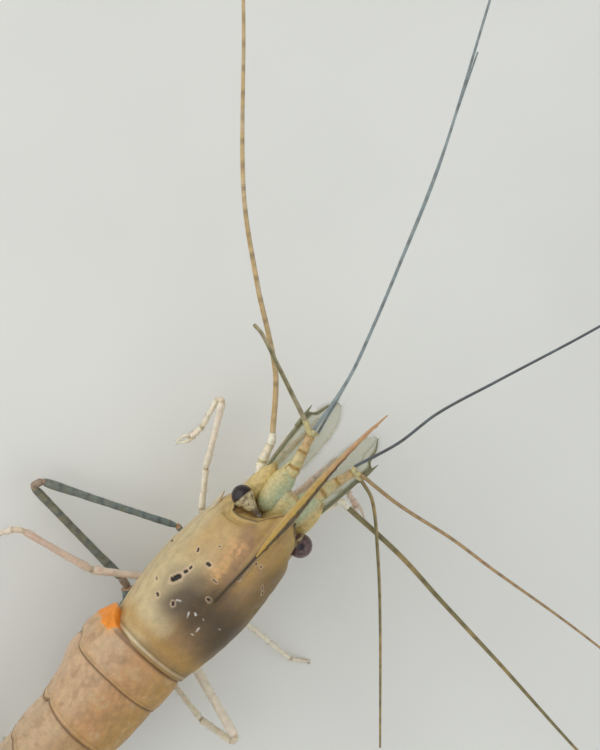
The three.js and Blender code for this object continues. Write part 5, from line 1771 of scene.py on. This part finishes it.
@dataclass
class Tail:
    """The telson and the four blades beside it, with ribs, fine furrows, spines and a hairy edge."""

    dip: float = 17.0
    telson_width: Stations = ((-1.5, 4.4), (0, 5), (8, 4.8), (18, 3), (25, 0.9))
    uropods: tuple = (("inner", 24.0, 15.0, 4.2, -1.0, (1.4, 4.2, 5.0, 3.2, 0.9)),
                      ("outer", 27.0, 35.0, 6.0, -3.4, (1.4, 4.6, 5.8, 4.0, 0.9)))
    stations: tuple[float, ...] = (0, 0.3, 0.75, 0.94, 1)

    def root(self, behind: float, across: float, lift: float) -> Array:
        """A place behind the last ring, in the ring's own dipping frame."""
        abdomen = Abdomen()
        back, up = dipping(abdomen.tilts[-1])
        return abdomen.axis()[-1] + behind * back + lift * up + np.array([0.0, across, 0.0])

    def dress(self, plate: Plate, points: Array, ridge: tuple[float, ...]) -> Array:
        """A blade's colours: grey-olive with furrows, dark ribs, a pale edge and a warm end."""
        s, v, _ = plate.share()
        share = (s - plate.start) / (plate.end - plate.start)
        wave = ripple(points, 5.0, 101)
        cloth = Paint(points, Hue.rear)
        cloth.over(0.4 * ramp(wave, 0.1, 0.7), Hue.salmon)
        cloth.over(0.35 * (0.5 + 0.5 * furrows(v)), Hue.olive * 0.7)
        for centre in ridge:
            cloth.over(0.55 * hump(v, centre, 0.035), Hue.joint)
        cloth.over(0.6 * ramp(share + 0.03 * wave, 0.72, 0.95), Hue.salmon)
        cloth.over(0.7 * ramp(np.abs(2 * v - 1), 0.955, 0.99), Hue.rim)
        return cloth.colours

    def build(self, maker: Maker) -> None:
        """Makes the tail fan and its hairs."""
        fringe = Tufts()
        width = np.array(self.telson_width)
        plate = Plate(self.root(1, 0, 2.6), 180.0, self.dip, -1.5, 25.0, Line(width), Line(width * (1, -1)),
                      Line(((0, 2.6), (10, 1.8), (25, 0.7))), 0.28, 110, 110)
        points = plate.points(((0.3, 0.05, 0.12), (0.7, 0.05, 0.12)), 0.02)
        pieces = [Patch(points, self.dress(plate, points, (0.3, 0.7)))]
        basis = plate.axes()
        for s, across in ((11.5, 2.6), (18.5, 1.6)):
            for way in (-1, 1):
                foot = plate.root + s * basis[0] + way * across * basis[1] + 1.0 * basis[2]
                middle = foot + 0.9 * basis[0] + 0.5 * basis[2]
                route = [foot, middle, foot + 2.0 * basis[0] + 0.75 * basis[2]]
                pieces.append(spine(route, (0.4, 0.3, 0.06), Hue.rim))
        maker.finish("tail_spike", pieces, "tail", "telson")
        for way in (True, False):
            plate.fringe(fringe, 20.5, 25.0, way, 26, 2.4, 111)
        for seed, side in enumerate(Side, 112):
            for name, length, spread, across, lift, halves in self.uropods:
                half = np.column_stack([np.array(self.stations) * length, halves])
                rib = Line(((0, 1.1), (0.5 * length, 0.7), (length, 0.35)))
                blade = Plate(self.root(1.4, across * side.value, lift), 180.0 - side.value * spread,
                              self.dip, 0.0, length, Line(half), Line(half * (1, -1)), rib, 0.18, 110, 120)
                outer = 0.07 if side is Side.LEFT else 0.93
                ribs = ((0.5, 0.05, 0.3), (outer, 0.05, 0.22))
                points = blade.points(ribs, 0.045)
                patch = Patch(points, self.dress(blade, points, (0.5, outer)))
                label = f"{name}_{side.label}"
                maker.finish(f"tail_blade_{label}", [patch], "tail", f"uropod_{label}")
                for way in (True, False):
                    outer_edge = way != (side is Side.LEFT)
                    low = 0.8 * length if outer_edge and name == "outer" else 0.35 * length
                    count = 70 if low > 0.5 * length else 190
                    blade.fringe(fringe, low, length, way, count, 2.4, seed)
        fringe.build(maker, "tail_hairs", 0.07, Hue.setae, "tail")


# The studio


@dataclass(frozen=True)
class Studio:
    """A pale floor under soft light: a broad lamp ahead and to the left, and a faint fill."""

    floor_colour: tuple[int, int, int] = (236, 235, 228)
    floor_reach: float = 3.0
    key_power: float = 9.0
    key_size: float = 1.7
    fill_power: float = 3.0
    fill_size: float = 1.2
    sky: float = 0.5

    def floor(self) -> None:
        """The floor, a plain matt sheet with a very faint cloudiness."""
        mesh = bpy.data.meshes.new("floor")
        reach = self.floor_reach
        corners = [(-reach, -reach, 0), (reach, -reach, 0), (reach, reach, 0), (-reach, reach, 0)]
        mesh.from_pydata(corners, [], [(0, 1, 2, 3)])
        piece = bpy.data.objects.new("floor", mesh)
        bpy.context.scene.collection.objects.link(piece)
        material, bench = blank("studio floor")
        clouds = bench.remap(bench.noise(bench.place(), 6.0, 3.0), 0.3, 0.7, 0.0, 1.0)
        base, dim = ((*(linear(*self.floor_colour) * share), 1.0) for share in (1.0, 0.93))
        bench.surface({"Base Color": bench.over(clouds, base, dim), "Roughness": 0.85})
        mesh.materials.append(material)

    def lamp(self, name: str, place: Array, aim: Array, power: float, size: float) -> None:
        """A square soft lamp that points at a place."""
        data = bpy.data.lights.new(name, "AREA")
        data.energy = power
        data.size = size
        back = unit(place - aim)
        right = unit(np.cross(np.array([0.3, 0.2, 0.93]), back))
        stand(name, data, np.stack([right, np.cross(back, right), back]), place)

    def build(self, shift: Array) -> None:
        """Sets the floor, the sky and the lamps, and plain colour handling."""
        self.floor()
        world = bpy.data.worlds.new("studio")
        world.use_nodes = True
        background = world.node_tree.nodes["Background"]
        background.inputs["Color"].default_value = (0.93, 0.97, 1.0, 1.0)
        background.inputs["Strength"].default_value = self.sky
        bpy.context.scene.world = world
        bpy.context.scene.view_settings.view_transform = "Standard"
        aim = (np.array([-20.0, 0.0, 30.0]) + shift) * METRES
        right, up, _ = VIEW.axes()
        key = aim - 0.75 * right + 0.45 * up + np.array([0, 0, 0.75])
        fill = aim + 0.8 * right - 0.3 * up + np.array([0, 0, 0.7])
        self.lamp("key", key, aim, self.key_power, self.key_size)
        self.lamp("fill", fill, aim, self.fill_power, self.fill_size)


def main() -> None:
    """Builds the prawn from head to tail and sets it on the studio floor."""
    logging.basicConfig(level=logging.INFO, format="%(name)s %(message)s")
    beak_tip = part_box("rostrum")[1].x / METRES
    low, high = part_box("carapace")
    shift = np.array([beak_tip - ROSTRUM_LENGTH, 0.5 * (low.y + high.y) / METRES, 0.0])
    VIEW.place(shift)
    Studio().build(shift)
    mottling, grain = mottling_group(), grain_group()
    recipes = {
        "shell": ShellFinish("head shield", strength=0.12, roughness=0.5, coat=0.1, dots=0.25),
        "rostrum": ShellFinish("beak", clouds=1.8, strength=0.14, dots=0.2, roughness=0.45, coat=0.1,
                               glow=0.2),
        "abdomen": ShellFinish("abdomen", clouds=2.6, strength=0.14, roughness=0.5, coat=0.1, dots=0.3),
        "tail": ShellFinish("tail fan", clouds=1.6, strength=0.25, dots=0.6, depth=0.02),
        "head": ShellFinish("head block", clouds=1.2, dots=0.3, glow=0.2),
        "stalk": ShellFinish("eyestalk", clouds=0.7, strength=0.3, dots=0.4, dot_size=0.3, coat=0.5),
        "scale": ShellFinish("antennal scale", clouds=2.0, strength=0.16, dots=0.12, roughness=0.24,
                             coat=0.5, depth=0.012, glow=0.0, clear=True),
        "stem": ShellFinish("feeler stem", clouds=1.4, strength=0.2, dots=0.25, glow=0.3),
        "feeler": ShellFinish("feeler", clouds=2.2, strength=0.22, dots=0.1, roughness=0.4, depth=0.01,
                              glow=0.0),
        "leg": ShellFinish("leg", clouds=1.8, strength=0.12, dots=0.12, dot_size=0.4, glow=0.3, depth=0.02),
        "claw": ShellFinish("claw", clouds=1.5, strength=0.24, dots=0.65, dot_size=0.42, depth=0.05,
                            coat=0.15),
        "hair": ShellFinish("bristle", clouds=3.0, strength=0.15, dots=0.0, roughness=0.45, coat=0.0,
                            depth=0.001, glow=0.0)}
    finishes = {name: recipe.build(mottling, grain) for name, recipe in recipes.items()}
    maker = Maker(shift, {**finishes, "eye": EyeFinish().build()})
    Carapace().build(maker)
    Rostrum().build(maker)
    Head().build_block(maker)
    fringe = Tufts()
    for side in Side:
        Head().build_eye(maker, side)
        AntennalScale().build(side, maker, fringe)
    fringe.build(maker, "scale_hairs", 0.03, Hue.pale_hair, "scale")
    for part in (Feelers(), Legs(), ClawLegs(), Abdomen(), Tail()):
        part.build(maker)
    LOG.info("%d pieces", maker.made)


if __name__ == "__main__":
    main()
